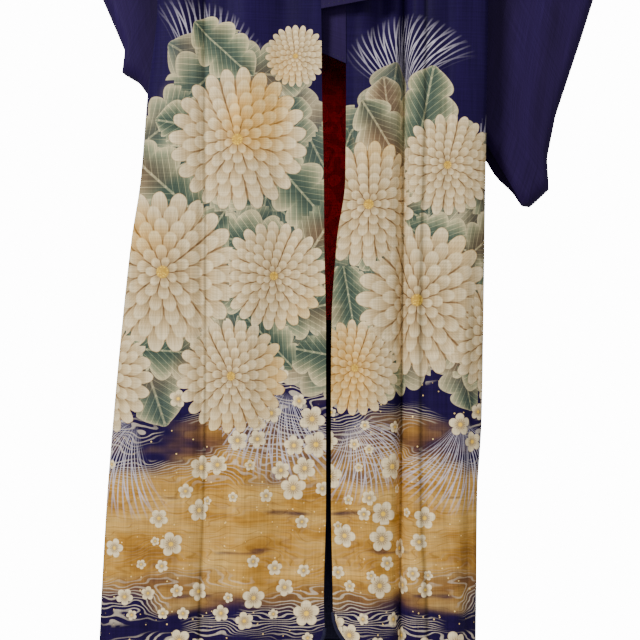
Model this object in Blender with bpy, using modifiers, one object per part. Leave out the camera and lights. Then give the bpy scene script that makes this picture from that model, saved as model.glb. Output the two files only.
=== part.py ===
"""A woman's formal silk kimono, hanging open on a wooden hanger.

Metres, +Z up. The origin is the inside top of the hanger's hook, where it is hung up.
The front faces -Y, so the wearer's left is at +X. Each panel is a wall of cloth that is
drawn through level sections: a section starts at the front edge, goes out to the side,
makes one deep tuck there and comes back along the back to the centre seam. The tuck is
as deep as the cut width of the cloth asks for.
"""
import math

import bmesh
import bpy
import numpy as np
from mathutils import Vector

# Cut sizes of the cloth
LENGTH = 1.535            # from the shoulder at the neck down to the hem
BACK_WIDTH = 0.30         # centre back seam to side seam
FRONT_WIDTH = 0.24        # side seam to overlap seam
OVERLAP_HEM = 0.15        # front overlap (okumi) at the hem
OVERLAP_END = 0.135       # front overlap at the collar's end
NECK_HALF = 0.085         # half the width of the neck opening
NECK_DROP = 0.024         # how far the neck is cut down at the back
SLEEVE_SEAM = 0.23        # length of the seam that joins the sleeve, front or back
SLIT = 0.13               # open slit under the arm
COLLAR_NECK = 0.055       # collar's width behind the neck
COLLAR_END = 0.075        # collar's width at its ends
OVER_COLLAR_DROP = 0.45   # how far the over-collar comes down from the shoulder
LINING_TOP = 0.415        # height above the hem where the hem lining stops

# Walls and gaps
WALL = 0.0016
LINING_WALL = 0.0012
SEAM_GAP = 0.0009         # between two pieces that are sewn edge to edge
LAYER_GAP = 0.0006        # between collar and over-collar
LINING_GAP = 0.0023       # between the back and its lining, which hangs a little free
HEM_LINING_GAP = 0.0016   # the same for the hem lining, which is sewn down below
BAR_GAP = 0.0020          # between the shoulder fold and the bar, less at its corners
SEAM_FOOT_GAP = 0.0020    # extra width of the sleeve's seam at its foot, where walls turn
SEAT_GAP = 0.0003         # between the hook and the bar that it is screwed into

# Heights
SHOULDER_Z = -0.085
HEM_Z = SHOULDER_Z - LENGTH
STRAIGHT = 0.95           # up to this height above the hem every section is level
SLIT_FOOT = LENGTH - SLEEVE_SEAM - SLIT
SLEEVE_FOOT = LENGTH - SLEEVE_SEAM
TIP_HEIGHT = LENGTH - 0.245   # where the front overlap runs out to its tip

# Hanger
HANGER_HALF = 0.215
HANGER_DROP = 0.045       # how much lower its ends are than its middle
HANGER_BAR = 0.009        # radius of the wooden bar
HOOK_WIRE = 0.002         # radius of the hook's wire
HOOK_BEND = 0.024         # radius of the hook, to the middle of its wire
DROOP = 1.5               # how steeply the shoulder falls away past the hanger's end
DROOP_SOFT = 0.012        # roundness of that bend

TURN = 0.012              # radius of the round turn at the outer edges
BACK_INSET = 0.014        # how much nearer the centre the back turns than the front
RIDGE = 0.020             # radius of the cloth over the shoulder

# Level sections, in metres from the centre line: height above the hem, front edge,
# overlap seam, outer edge, and how far the front and back stand from the hanger's plane
COLUMNS = ("height", "edge", "seam", "outer", "front", "back")
SECTIONS = {
    "right": [
        (0.000, -0.0040, 0.1560, 0.2820, 0.064, 0.050),
        (0.065, -0.0010, 0.1545, 0.2790, 0.065, 0.050),
        (0.190, -0.0037, 0.1500, 0.2720, 0.066, 0.051),
        (0.290, -0.0037, 0.1480, 0.2640, 0.067, 0.052),
        (0.400, -0.0037, 0.1475, 0.2540, 0.067, 0.052),
        (0.515, -0.0015, 0.1475, 0.2410, 0.067, 0.051),
        (0.590, -0.0010, 0.1485, 0.2290, 0.067, 0.050),
        (0.700, 0.0012, 0.1490, 0.2200, 0.067, 0.048),
        (0.815, 0.0025, 0.1490, 0.2080, 0.066, 0.046),
        (0.950, 0.0150, 0.1350, 0.2080, 0.062, 0.043),
        (SLIT_FOOT, 0.0440, 0.0900, 0.2200, 0.052, 0.038),
        (SLEEVE_FOOT, 0.0590, 0.0590, 0.2380, 0.042, 0.034),
        (LENGTH, NECK_HALF, NECK_HALF, 0.2620, RIDGE, RIDGE),
    ],
    "left": [
        (0.000, 0.0125, 0.1310, 0.1935, 0.066, 0.050),
        (0.065, 0.0122, 0.1290, 0.1940, 0.065, 0.050),
        (0.190, 0.0100, 0.1225, 0.1950, 0.062, 0.051),
        (0.290, 0.0100, 0.1225, 0.2010, 0.060, 0.052),
        (0.400, 0.0105, 0.1225, 0.2030, 0.058, 0.052),
        (0.515, 0.0175, 0.1240, 0.2045, 0.056, 0.051),
        (0.590, 0.0280, 0.1265, 0.2055, 0.055, 0.050),
        (0.700, 0.0290, 0.1290, 0.2070, 0.054, 0.048),
        (0.815, 0.0290, 0.1300, 0.2090, 0.052, 0.046),
        (0.950, 0.0340, 0.1260, 0.2090, 0.048, 0.043),
        (SLIT_FOOT, 0.0520, 0.0930, 0.2200, 0.041, 0.038),
        (SLEEVE_FOOT, 0.0620, 0.0620, 0.2380, 0.035, 0.034),
        (LENGTH, NECK_HALF, NECK_HALF, 0.2620, RIDGE, RIDGE),
    ],
}

# Largest creases of the fronts: place across and depth towards the back, each at the
# hem and at 0.815 m above it, then half width and the height where the crease has died
CREASE_COLUMNS = ("x_hem", "x_up", "deep_hem", "deep_up", "half", "dies")
CREASES = {
    "right": [
        (0.0550, 0.0500, 0.004, 0.006, 0.020, 1.35),
        (0.1000, 0.0950, -0.008, -0.008, 0.026, 1.30),
        (0.1540, 0.1490, 0.008, 0.009, 0.010, 1.15),
        (0.2200, 0.1780, 0.005, -0.004, 0.016, 1.10),
    ],
    "left": [
        (0.0260, 0.0400, 0.003, 0.002, 0.008, 1.00),
        (0.0560, 0.0620, -0.012, -0.005, 0.022, 1.10),
        (0.0962, 0.1030, 0.019, 0.020, 0.0070, 1.15),
        (0.1310, 0.1300, 0.003, 0.003, 0.008, 1.10),
    ],
}
CREASE_UP = 0.815
CREASE_FADE = 0.25        # length over which a crease dies out
# Where the outer part of each front turns back, at the hem and higher up, and its slope
FACETS = {"right": (0.262, 0.196, 0.6), "left": (0.168, 0.198, 1.3)}
# Soft folds of the back: place across, depth against the tuck's, and half width
BACK_FOLDS = [(0.055, 0.14, 0.022), (0.112, -0.11, 0.023), (0.160, 0.12, 0.021)]
HEM_CORNER = {"right": 0.030, "left": 0.050}   # radius of the front hem corner

# Sleeves, as edges of a bag: across and down from the hook, inner edge first from the
# seam's foot to the bottom, then outer edge from the top fold to the bottom
SLEEVE_INNER = {
    "right": [(0.2430, -0.385), (0.2320, -0.480), (0.2080, -0.620), (0.1750, -0.780),
              (0.1560, -0.860)],
    "left": [(0.2430, -0.385), (0.2320, -0.480), (0.2120, -0.640), (0.1850, -0.800),
             (0.1640, -0.900)],
}
SLEEVE_OUTER = {
    "right": [(0.400, -0.465), (0.368, -0.580), (0.318, -0.700), (0.272, -0.805),
              (0.252, -0.852), (0.255, -0.880), (0.233, -0.893), (0.196, -0.945)],
    "left": [(0.420, -0.475), (0.405, -0.580), (0.366, -0.720), (0.330, -0.835),
             (0.297, -0.935), (0.286, -0.990), (0.288, -1.030), (0.259, -1.0575)],
}
SLEEVE_MID = {"right": -0.009, "left": -0.004}   # how far back the sleeve's middle hangs
SLEEVE_HALF = 0.0075      # half the bag's thickness
CUFF_SHARE = 0.36         # share of the outer edge that is the open cuff

# Colours
VIOLET = (0.030, 0.020, 0.105, 1.0)
CRIMSON = (0.300, 0.010, 0.016, 1.0)
NAVY = (0.012, 0.012, 0.028, 1.0)
BEECH = (0.420, 0.250, 0.120, 1.0)
STEEL = (0.600, 0.600, 0.620, 1.0)


def clear_scene():
    for thing in list(bpy.data.objects):
        bpy.data.objects.remove(thing, do_unlink=True)


def finish_material(name, colour, roughness, metallic=0.0):
    material = bpy.data.materials.new(name)
    material.use_nodes = True
    shader = material.node_tree.nodes["Principled BSDF"]
    shader.inputs["Base Color"].default_value = colour
    shader.inputs["Roughness"].default_value = roughness
    shader.inputs["Metallic"].default_value = metallic
    return material


def smooth_step(value):
    share = np.clip(value, 0.0, 1.0)
    return share * share * (3.0 - 2.0 * share)


def smooth_between(where, places, values):
    """Smooth curve through a table's values that never overshoots them."""
    span = np.diff(places)
    slope = np.diff(values) / span
    product = slope[:-1] * slope[1:]
    total = np.where(product > 0.0, slope[:-1] + slope[1:], 1.0)
    rate = np.where(product > 0.0, 2.0 * product / total, 0.0)
    rate = np.concatenate([slope[:1], rate, slope[-1:]])
    i = int(np.clip(np.searchsorted(places, where, side="right") - 1, 0, len(span) - 1))
    t = (where - places[i]) / span[i]
    rise = values[i + 1] - values[i]
    bend = t * (1.0 - t) * ((1.0 - t) * rate[i] - t * rate[i + 1]) * span[i]
    return float(values[i] + rise * t * t * (3.0 - 2.0 * t) + bend)


def at_height(side, column, height):
    """Value of a column at a height: smooth for the outline, straight for the seams."""
    heights = [row[0] for row in SECTIONS[side]]
    values = [row[COLUMNS.index(column)] for row in SECTIONS[side]]
    if column == "outer":
        return smooth_between(height, heights, values)
    return float(np.interp(height, heights, values))


def overlap_width(height):
    """Cut width of the front overlap, which tapers from the collar's end to its tip."""
    end = LENGTH - 0.725
    below = OVERLAP_HEM + (OVERLAP_END - OVERLAP_HEM) * min(height, end) / end
    taper = (TIP_HEIGHT - height) / (TIP_HEIGHT - end)
    return below * min(1.0, max(0.0, taper))


def front_depth(side, x, height):
    """How far a point of the front stands towards -Y, creases and facet included."""
    up = min(height / CREASE_UP, 1.0)
    depth = np.full_like(x, at_height(side, "front", height))
    for row in CREASES[side]:
        crease = dict(zip(CREASE_COLUMNS, row))
        place = crease["x_hem"] + (crease["x_up"] - crease["x_hem"]) * up
        deep = crease["deep_hem"] + (crease["deep_up"] - crease["deep_hem"]) * up
        alive = smooth_step((crease["dies"] - height) / CREASE_FADE)
        away = (x - place) / crease["half"]
        depth -= deep * alive / (1.0 + away * away) ** 1.5
    hem_turn, up_turn, slope = FACETS[side]
    past = x - (hem_turn + (up_turn - hem_turn) * up)
    soft = 0.004
    alive = smooth_step((SLIT_FOOT - height) / CREASE_FADE)
    depth -= slope * alive * soft * np.log1p(np.exp(np.clip(past / soft, -30, 30)))
    return depth


def opened(height):
    """None below the slit under the arm, and all of it from the sleeve's seam up."""
    share = min(1.0, max(0.0, (height - SLIT_FOOT) / SLIT))
    return share * (2.0 - share)


def turned(height):
    """Share of the round side turn that is left beside the slit."""
    return math.sin(math.pi / 2 * min(1.0, 2.0 * (1.0 - opened(height))))


def front_end(side, height):
    """Place across where the flat front ends and its round turn begins."""
    return at_height(side, "outer", height) - TURN * turned(height)


def back_end(side, height):
    """Place across where the flat back ends and its round turn begins."""
    return front_end(side, height) - BACK_INSET * turned(height)


def front_line(side, height, start, stop):
    """Flat section of the front between two places."""
    x = np.linspace(start, stop, 110)
    return np.column_stack([x, -front_depth(side, x, height)])


def back_line(side, height, amount):
    """Flat section of the back, from its turn to the centre seam."""
    end = back_end(side, height)
    x = np.linspace(end, 0.0, 110)
    y = np.full_like(x, at_height(side, "back", height))
    alive = 1.0 - float(smooth_step((height - STRAIGHT) / 0.25))
    for place, share, half in BACK_FOLDS:
        away = (x - place * end / 0.20) / half
        y -= share * amount * alive / (1.0 + away * away) ** 2
    return np.column_stack([x, y])


def side_line(front, back, amount, height):
    """Round turn of the front, tuck and round turn of the back, as one line."""
    angle = np.linspace(0.0, math.pi / 2, 9)
    (front_x, front_y), (back_x, back_y) = front[-1], back[0]
    turn = np.column_stack([TURN * np.sin(angle), TURN * (1.0 - np.cos(angle))])
    first = turn + (front_x, front_y)
    last = (turn * (1, -1) + (back_x, back_y))[::-1]
    share = np.linspace(0.0, 1.0, 81)
    x = first[-1, 0] + (last[0, 0] - first[-1, 0]) * share
    x -= amount * np.sin(math.pi * share) ** 2
    # Both walls of the tuck run in towards the middle of the depth, less so at the slit
    power = 1.7 - 0.7 * float(smooth_step((height - STRAIGHT) / (SLIT_FOOT - STRAIGHT)))
    lean = np.sign(share - 0.5) * np.abs(2.0 * share - 1.0) ** power
    y = first[-1, 1] + (last[0, 1] - first[-1, 1]) * (0.5 + 0.5 * lean)
    return np.vstack([first, np.column_stack([x, y])[1:-1], last])


def run_length(line):
    return np.concatenate([[0.0], np.cumsum(np.hypot(*np.diff(line, axis=0).T))])


def pick(line, shares):
    """Points of a line at given shares of its length."""
    length = run_length(line)
    share = length / length[-1]
    return np.column_stack([np.interp(shares, share, line[:, i]) for i in (0, 1)])


def section(side, height, amount):
    """Front from the overlap seam, and back to the centre, as two lines of a section.

    They meet at the side seam, which lies in the tuck at the cut width of the front.
    From the slit up each one draws back, and by the sleeve's seam only flat cloth is left.
    """
    seam = at_height(side, "seam", height)
    front = front_line(side, height, seam, front_end(side, height))
    back = back_line(side, height, amount)
    keep = 1.0 - opened(height)
    if keep < 0.001:
        return front, back
    side_way = side_line(front, back, amount, height)
    place = (FRONT_WIDTH - run_length(front)[-1]) / run_length(side_way)[-1]
    place = min(0.80, max(0.20, place))
    first = pick(side_way, np.linspace(0.0, place * keep, 60))
    last = pick(side_way, np.linspace(1.0 - (1.0 - place) * keep, 1.0, 60))
    return np.vstack([front, first[1:]]), np.vstack([last[:-1], back])


def tuck_amount(side, height):
    """Depth of the side tuck that makes the section as long as the cloth is wide."""
    level = min(height, STRAIGHT)
    wanted = overlap_width(level) + FRONT_WIDTH + BACK_WIDTH
    low, high = 0.0, 0.15
    for _ in range(24):
        middle = (low + high) / 2
        front, back = section(side, level, middle)
        edge = at_height(side, "edge", level)
        seam = at_height(side, "seam", level)
        lap = front_line(side, level, edge, seam)
        length = sum(run_length(line)[-1] for line in (lap, front, back))
        if length < wanted:
            low = middle
        else:
            high = middle
    fade = smooth_step((height - STRAIGHT) / (LENGTH - 0.06 - STRAIGHT))
    return low * (1.0 - fade)


def shoulder_z(x):
    """Height of the shoulder fold over a place across, drooping past the hanger."""
    x = abs(x)
    on_bar = SHOULDER_Z - HANGER_DROP * (min(x, HANGER_HALF) / HANGER_HALF) ** 1.5
    past = x - HANGER_HALF
    return on_bar - DROOP * (past + math.hypot(past, DROOP_SOFT)) / 2


def place_point(side, x, y, height):
    """A section's point in the room, with the shoulder's slope and its round ridge."""
    top = shoulder_z(x)
    if height <= STRAIGHT:
        z = HEM_Z + height
    else:
        base = HEM_Z + STRAIGHT
        z = base + (top - base) * (height - STRAIGHT) / (LENGTH - STRAIGHT)
    below = LENGTH - height
    if below < RIDGE:
        y *= math.sqrt(max(0.0, 1.0 - (1.0 - below / RIDGE) ** 2))
    sign = 1.0 if side == "left" else -1.0
    return Vector((sign * x, y, z))


def add_object(name, mesh, material, collection):
    thing = bpy.data.objects.new(name, mesh)
    thing.data.materials.append(material)
    collection.objects.link(thing)
    return thing


def cloth(name, grids, material, collection, wall=WALL, flip=False):
    """Wall of cloth through one or more grids of points that share their edges."""
    shape = bmesh.new()
    for grid in grids:
        rows = [[shape.verts.new(point) for point in row] for row in grid]
        for lower, upper in zip(rows, rows[1:]):
            for i in range(len(lower) - 1):
                shape.faces.new((lower[i], lower[i + 1], upper[i + 1]))
                shape.faces.new((lower[i], upper[i + 1], upper[i]))
    bmesh.ops.remove_doubles(shape, verts=shape.verts, dist=0.0001)
    bmesh.ops.recalc_face_normals(shape, faces=shape.faces)
    if flip:
        bmesh.ops.reverse_faces(shape, faces=shape.faces)
    mesh = bpy.data.meshes.new(name)
    shape.to_mesh(mesh)
    shape.free()
    thing = add_object(name, mesh, material, collection)
    thicken = thing.modifiers.new("wall", "SOLIDIFY")
    thicken.thickness = wall
    thicken.offset = 0.0
    thicken.use_even_offset = True
    mesh.shade_smooth()
    mesh.set_sharp_from_angle(angle=math.radians(50))
    return thing


BODY_HEIGHTS = [0.0, 0.05, 0.11, 0.18, 0.26, 0.34, LINING_TOP, 0.50, 0.59, 0.68, 0.77, 0.86,
                STRAIGHT, 1.02, 1.09, SLIT_FOOT, 1.195, 1.23, 1.265, SLEEVE_FOOT, 1.38, 1.45,
                LENGTH - 0.035, LENGTH - RIDGE, LENGTH - 0.010, LENGTH - 0.0035, LENGTH]
PANEL_SHARES = np.array([0.0, 0.08, 0.18, 0.30, 0.43, 0.57, 0.72, 0.87, 1.0])
SIDE_SHARES = np.array([0.10, 0.24, 0.46, 0.72, 1.0])
NECK_SHARES = np.array([0.25, 0.5, 0.75, 1.0])
LAP_SHARES = {
    "right": np.array([0.0, 0.12, 0.26, 0.40, 0.54, 0.68, 0.80, 0.91, 1.0]),
    "left": np.array([0.0, 0.08, 0.22, 0.38, 0.54, 0.68, 0.76, 0.82, 0.89, 1.0]),
}
LAP_HEIGHTS = [0.0, 0.02, 0.05, 0.11, 0.18, 0.26, 0.34, LINING_TOP, 0.50, 0.59, 0.68, 0.77,
               0.86, STRAIGHT, 1.06, SLIT_FOOT, 1.24, TIP_HEIGHT]


def split_columns(line, end):
    """Points of a line that runs outwards: its flat part, then its way round the side.

    Beside the sleeve there is no side left, and the points of that part fall together.
    """
    length = run_length(line)
    i = int(np.argmax(line[:, 0] >= end - 1e-9))
    share = np.interp(end, line[i - 1:i + 1, 0], length[i - 1:i + 1]) / length[-1]
    return pick(line, np.concatenate([PANEL_SHARES * share,
                                      share + SIDE_SHARES * (1.0 - share)]))


def body_grids(side):
    """Front and back grids of one half of the body, joined at shoulder and side."""
    inner = NECK_HALF + SEAM_GAP / 2
    front_rows, back_rows = [], []
    for height in BODY_HEIGHTS:
        front, back = section(side, height, tuck_amount(side, height))
        length = run_length(front)
        front = pick(front, np.linspace(SEAM_GAP / 2 / length[-1], 1.0, 400))
        front_rows.append([place_point(side, x, y, height)
                           for x, y in split_columns(front, front_end(side, height))])
        corner = [inner, np.interp(-inner, -back[:, 0], back[:, 1])]
        outer_part = np.vstack([back[back[:, 0] > inner], corner])[::-1]
        columns = split_columns(outer_part, back_end(side, height))[::-1]
        row = [place_point(side, x, y, height) for x, y in columns]
        # Towards the centre the back is cut down for the neck
        for x in inner - NECK_SHARES * (inner - SEAM_GAP / 2):
            y = float(np.interp(-x, -back[:, 0], back[:, 1]))
            share = float(smooth_step((inner - x) / (inner * 0.6)))
            cut = NECK_DROP * share * (height / LENGTH) ** 6
            row.append(place_point(side, x, y, height - cut))
        back_rows.append(row)
    return front_rows, back_rows


def lap_grid(side):
    """Front overlap, from its round hem corner up to its tip."""
    radius = HEM_CORNER[side]
    level = 0.11
    rows = []
    for height in LAP_HEIGHTS:
        row = []
        for share in LAP_SHARES[side]:
            aside = min(radius, share * OVERLAP_HEM)
            lift = radius - math.sqrt(radius ** 2 - (radius - aside) ** 2)
            here = height if height >= level else lift + height * (level - lift) / level
            edge = at_height(side, "edge", here)
            seam = at_height(side, "seam", here) - SEAM_GAP / 2
            x, y = pick(front_line(side, here, edge, seam), [share])[0]
            row.append(place_point(side, x, y, here))
        rows.append(row)
    return rows


COLLAR_FOOT = {"right": 0.804, "left": 0.7375}
COLLAR_SLOPE = {"right": 0.17, "left": 0.45}     # rise of the collar's short end edge
COLLAR_LEAN = {"right": -0.10, "left": 0.08}     # towards -Y or +Y from seam to fold
COLLAR_HEIGHTS = [0.86, STRAIGHT, 1.06, SLIT_FOOT, 1.24, TIP_HEIGHT, 1.38, 1.45,
                  LENGTH - 0.035, LENGTH - RIDGE, LENGTH - 0.010]
COLLAR_SHARES = [0.0, 0.34, 0.67, 1.0]
NECK_STATIONS = [0.0, 0.2, 0.45, 0.72, 1.0]


def collar_side(side):
    """Stations of the collar from one end up to the shoulder: seam point and direction."""
    sign = 1.0 if side == "left" else -1.0
    stations = []
    foot = COLLAR_FOOT[side]
    for height in [foot, foot + 0.030] + COLLAR_HEIGHTS:
        edge = at_height(side, "edge", height)
        y = -float(front_depth(side, np.array([edge]), height)[0])
        seam = place_point(side, edge - SEAM_GAP / 2, y, height)
        share = (height - foot) / (LENGTH - foot)
        width = COLLAR_END + (COLLAR_NECK - COLLAR_END) * share
        raised = float(smooth_step((height - (LENGTH - 0.15)) / 0.15))
        slope = COLLAR_SLOPE[side] * (1.0 - float(smooth_step(share / 0.12)))
        flat = Vector((-sign, COLLAR_LEAN[side] * (1.0 - raised), slope))
        across = flat.normalized().lerp(Vector((-sign * 0.45, -0.05, 0.9)), raised)
        stations.append((seam, across.normalized() * width))
    return stations


def collar_grid():
    """The whole collar, from the wearer's right end round the neck to the left end."""
    right = collar_side("right")
    left = collar_side("left")
    neck = []
    inner = NECK_HALF + SEAM_GAP / 2
    for station in NECK_STATIONS:
        x = inner * (1.0 - station) - SEAM_GAP
        share = float(smooth_step((inner - max(x, 0.0)) / (inner * 0.6)))
        height = LENGTH - NECK_DROP * share
        point = place_point("left", max(x, 0.0), RIDGE, height)
        point.z += SEAM_GAP + WALL / 2
        across = Vector((-0.40 * (1.0 - station), 0.12 * station, 0.9)).normalized()
        neck.append((point, across * COLLAR_NECK))
    mirrored = [(Vector((-p.x, p.y, p.z)), Vector((-a.x, a.y, a.z))) for p, a in neck]
    stations = right + mirrored[:-1] + neck[::-1] + left[::-1]
    return [[seam + across * share for share in COLLAR_SHARES] for seam, across in stations]


def moved_out(grid, distance):
    """The grid's points moved out so that its faces all end up that far away."""
    across, up = len(grid[0]), len(grid)
    normals = {}
    for i in range(up - 1):
        for j in range(across - 1):
            first = grid[i + 1][j + 1] - grid[i][j]
            second = grid[i + 1][j] - grid[i][j + 1]
            normals[i, j] = first.cross(second).normalized()
    rows = []
    for i in range(up):
        points = []
        for j in range(across):
            near = [normals[k] for k in ((i, j), (i - 1, j), (i, j - 1), (i - 1, j - 1))
                    if k in normals]
            normal = sum(near, Vector()).normalized()
            spread = sum(normal.dot(other) for other in near) / len(near)
            points.append(grid[i][j] - normal * (distance / max(spread, 0.5)))
        rows.append(points)
    return rows


def over_collar_grid(collar):
    """Second layer on the collar's outer face, round the neck and part way down."""
    kept = [row for row in collar if row[0].z > SHOULDER_Z - OVER_COLLAR_DROP]
    inset = [[row[0].lerp(row[-1], share) for share in (0.06, 0.36, 0.67, 0.99)] for row in kept]
    return moved_out(inset, -(WALL + LAYER_GAP))


def along_points(points, share):
    """Point of a polyline at a share of its length."""
    steps = [0.0]
    for first, second in zip(points, points[1:]):
        steps.append(steps[-1] + math.dist(first, second))
    return tuple(float(np.interp(share * steps[-1], steps, [p[i] for p in points]))
                 for i in (0, 1))


def round_off(distance, radius):
    """Share of a bag's thickness near a fold: none at the fold, all past the radius."""
    inside = 1.0 - min(1.0, max(0.0, distance / radius))
    return math.sqrt(max(0.0, 1.0 - inside * inside))


SLEEVE_ACROSS = [0.0, 0.12, 0.28, 0.46, 0.64, 0.80, 0.92, 0.975, 1.0]
SLEEVE_DOWN = [0.042, 0.12, 0.25, 0.42, 0.60, 0.77, 0.90, 0.97, 0.99, 1.0]
FOLD_RADIUS = 0.012


def sleeve_grids(side):
    """Front and back walls of a sleeve, joined along its top fold, cuff side and foot."""
    sign = 1.0 if side == "left" else -1.0
    mid = SLEEVE_MID[side]
    inner, depth = [], []
    # Beside the body the inner edge follows the seam, row by row
    for height in [h for h in reversed(BODY_HEIGHTS) if h >= SLEEVE_FOOT - 1e-6]:
        foot = SEAM_FOOT_GAP if height < SLEEVE_FOOT + 0.001 else 0.0
        outer = at_height(side, "outer", height) + SEAM_GAP + foot
        front = place_point(side, outer, -at_height(side, "front", height), height)
        back = place_point(side, outer, at_height(side, "back", height), height)
        inner.append((outer, front.z))
        depth.append((front.y, back.y))
    seam_rows = len(inner)
    free = [inner[-1]] + SLEEVE_INNER[side]
    for share in SLEEVE_DOWN:
        inner.append(along_points(free, share))
        fade = float(smooth_step(share / 0.30))
        depth.append((depth[seam_rows - 1][0] * (1 - fade) + (mid - SLEEVE_HALF) * fade,
                      depth[seam_rows - 1][1] * (1 - fade) + (mid + SLEEVE_HALF) * fade))
    # Share of the length reached by each row
    steps = [0.0]
    for first, second in zip(inner, inner[1:]):
        steps.append(steps[-1] + math.dist(first, second))
    total = steps[-1]
    front_rows, back_rows = [], []
    for (x_in, z_in), (y_front, y_back), step in zip(inner, depth, steps):
        down = step / total
        x_out, z_out = along_points(SLEEVE_OUTER[side], down)
        end = round_off(step, FOLD_RADIUS) * round_off(total - step, FOLD_RADIUS)
        front_row, back_row = [], []
        for share in SLEEVE_ACROSS:
            x = x_in + (x_out - x_in) * share
            z = z_in + (z_out - z_in) * share
            width = math.dist((x_in, z_in), (x_out, z_out))
            closed = 1.0 if down < CUFF_SHARE else round_off((1 - share) * width, FOLD_RADIUS)
            half = SLEEVE_HALF * end * closed
            away = float(smooth_step(share / 0.45))
            top = end if step < FOLD_RADIUS else 1.0
            foot = round_off(total - step, FOLD_RADIUS)
            near_front = mid + (y_front - mid) * foot if step > FOLD_RADIUS else y_front
            near_back = mid + (y_back - mid) * foot if step > FOLD_RADIUS else y_back
            middle = mid * (top if step < FOLD_RADIUS else 1.0)
            front_row.append(Vector((sign * x, near_front * (1 - away)
                                     + (middle - half) * away, z)))
            back_row.append(Vector((sign * x, near_back * (1 - away)
                                    + (middle + half) * away, z)))
        front_rows.append(front_row)
        back_rows.append(back_row)
    return front_rows, back_rows


LINING_FROM = 7           # first column of the back that the lining covers


def lining_grid(backs, low, high, gap):
    """Lining inside both halves of the back, between two heights."""
    rows = []
    for height in [low] + [h for h in BODY_HEIGHTS if low < h < high] + [high]:
        upper = next(i for i, h in enumerate(BODY_HEIGHTS) if h >= height)
        upper = max(upper, 1)
        span = BODY_HEIGHTS[upper] - BODY_HEIGHTS[upper - 1]
        share = (height - BODY_HEIGHTS[upper - 1]) / span
        halves = []
        for side in ("right", "left"):
            rows_of = backs[side]
            halves.append([a.lerp(b, share) for a, b in
                           zip(rows_of[upper - 1][LINING_FROM:], rows_of[upper][LINING_FROM:])])
        centre = halves[0][-1].lerp(halves[1][-1], 0.5)
        rows.append(halves[0][:-1] + [centre] + halves[1][:-1][::-1])
    return moved_out(rows, -(WALL / 2 + gap + LINING_WALL / 2))


def curve_object(name, points, radius, material, collection, resolution=3):
    """Round bar or wire through points, with closed ends."""
    curve = bpy.data.curves.new(name, "CURVE")
    curve.dimensions = "3D"
    curve.bevel_depth = radius
    curve.bevel_resolution = resolution
    curve.use_fill_caps = True
    spline = curve.splines.new("POLY")
    spline.points.add(len(points) - 1)
    for spot, point in zip(spline.points, points):
        spot.co = (*point, 1.0)
    spline.use_smooth = True
    thing = bpy.data.objects.new(name, curve)
    curve.materials.append(material)
    collection.objects.link(thing)
    return thing


def build_hanger(collection, wood, metal):
    bar_top = WALL / 2 + BAR_GAP
    points = []
    for share in np.linspace(-1.0, 1.0, 21):
        x = share * (HANGER_HALF - 3.0 * HANGER_BAR)
        points.append((x, 0.0, shoulder_z(x) - bar_top - HANGER_BAR))
    curve_object("hanger_bar", points, HANGER_BAR, wood, collection)
    foot = points[10][2] + HANGER_BAR + SEAT_GAP
    middle = HOOK_WIRE - HOOK_BEND
    wire = [(0.0, 0.0, foot), (0.0, 0.0, middle - HOOK_BEND - 0.010)]
    for angle in np.linspace(-math.pi * 0.36, math.pi * 1.08, 22):
        wire.append((HOOK_BEND * math.cos(angle), 0.0, middle + HOOK_BEND * math.sin(angle)))
    curve_object("hanger_hook", wire, HOOK_WIRE, metal, collection, 2)


def build():
    clear_scene()
    kimono = bpy.data.collections.new("silk_kimono")
    bpy.context.scene.collection.children.link(kimono)
    violet = finish_material("violet_silk", VIOLET, 0.62)
    crimson = finish_material("crimson_damask", CRIMSON, 0.55)
    navy = finish_material("navy_silk", NAVY, 0.60)
    wood = finish_material("beech_wood", BEECH, 0.45)
    metal = finish_material("bright_steel", STEEL, 0.25, 1.0)
    backs = {}
    for side in ("right", "left"):
        front, back = body_grids(side)
        backs[side] = back
        cloth("body_" + side, [front, back], violet, kimono)
        cloth("okumi_" + side, [lap_grid(side)], violet, kimono)
        cloth("sleeve_" + side, sleeve_grids(side), violet, kimono)
    collar = collar_grid()
    cloth("collar", [collar], violet, kimono)
    cloth("over_collar", [over_collar_grid(collar)], violet, kimono)
    lower = lining_grid(backs, 0.004, LINING_TOP - SEAM_GAP, HEM_LINING_GAP)
    cloth("hem_lining_back", [lower], navy, kimono, LINING_WALL)
    upper = lining_grid(backs, LINING_TOP + SEAM_GAP, 1.45, LINING_GAP)
    cloth("lining_back", [upper], crimson, kimono, LINING_WALL)
    build_hanger(kimono, wood, metal)


build()
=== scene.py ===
# %% [markdown]
# # A silk kimono, hung open on its hanger
#
# The garment is dressed here over the workbench model. That model fixes every size and
# place: the hook's bend is at the origin, the front faces -Y and the hem is 1.62 m down.
# Silk can't be a hard shape with flat faces, so each piece of cloth is woven again as a
# fine net of points and given its own thickness, its folds and its dyed design.

# %% Load the frame
import math

import bmesh
import bpy
import numpy as np
from mathutils import Matrix, Vector, noise


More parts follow.
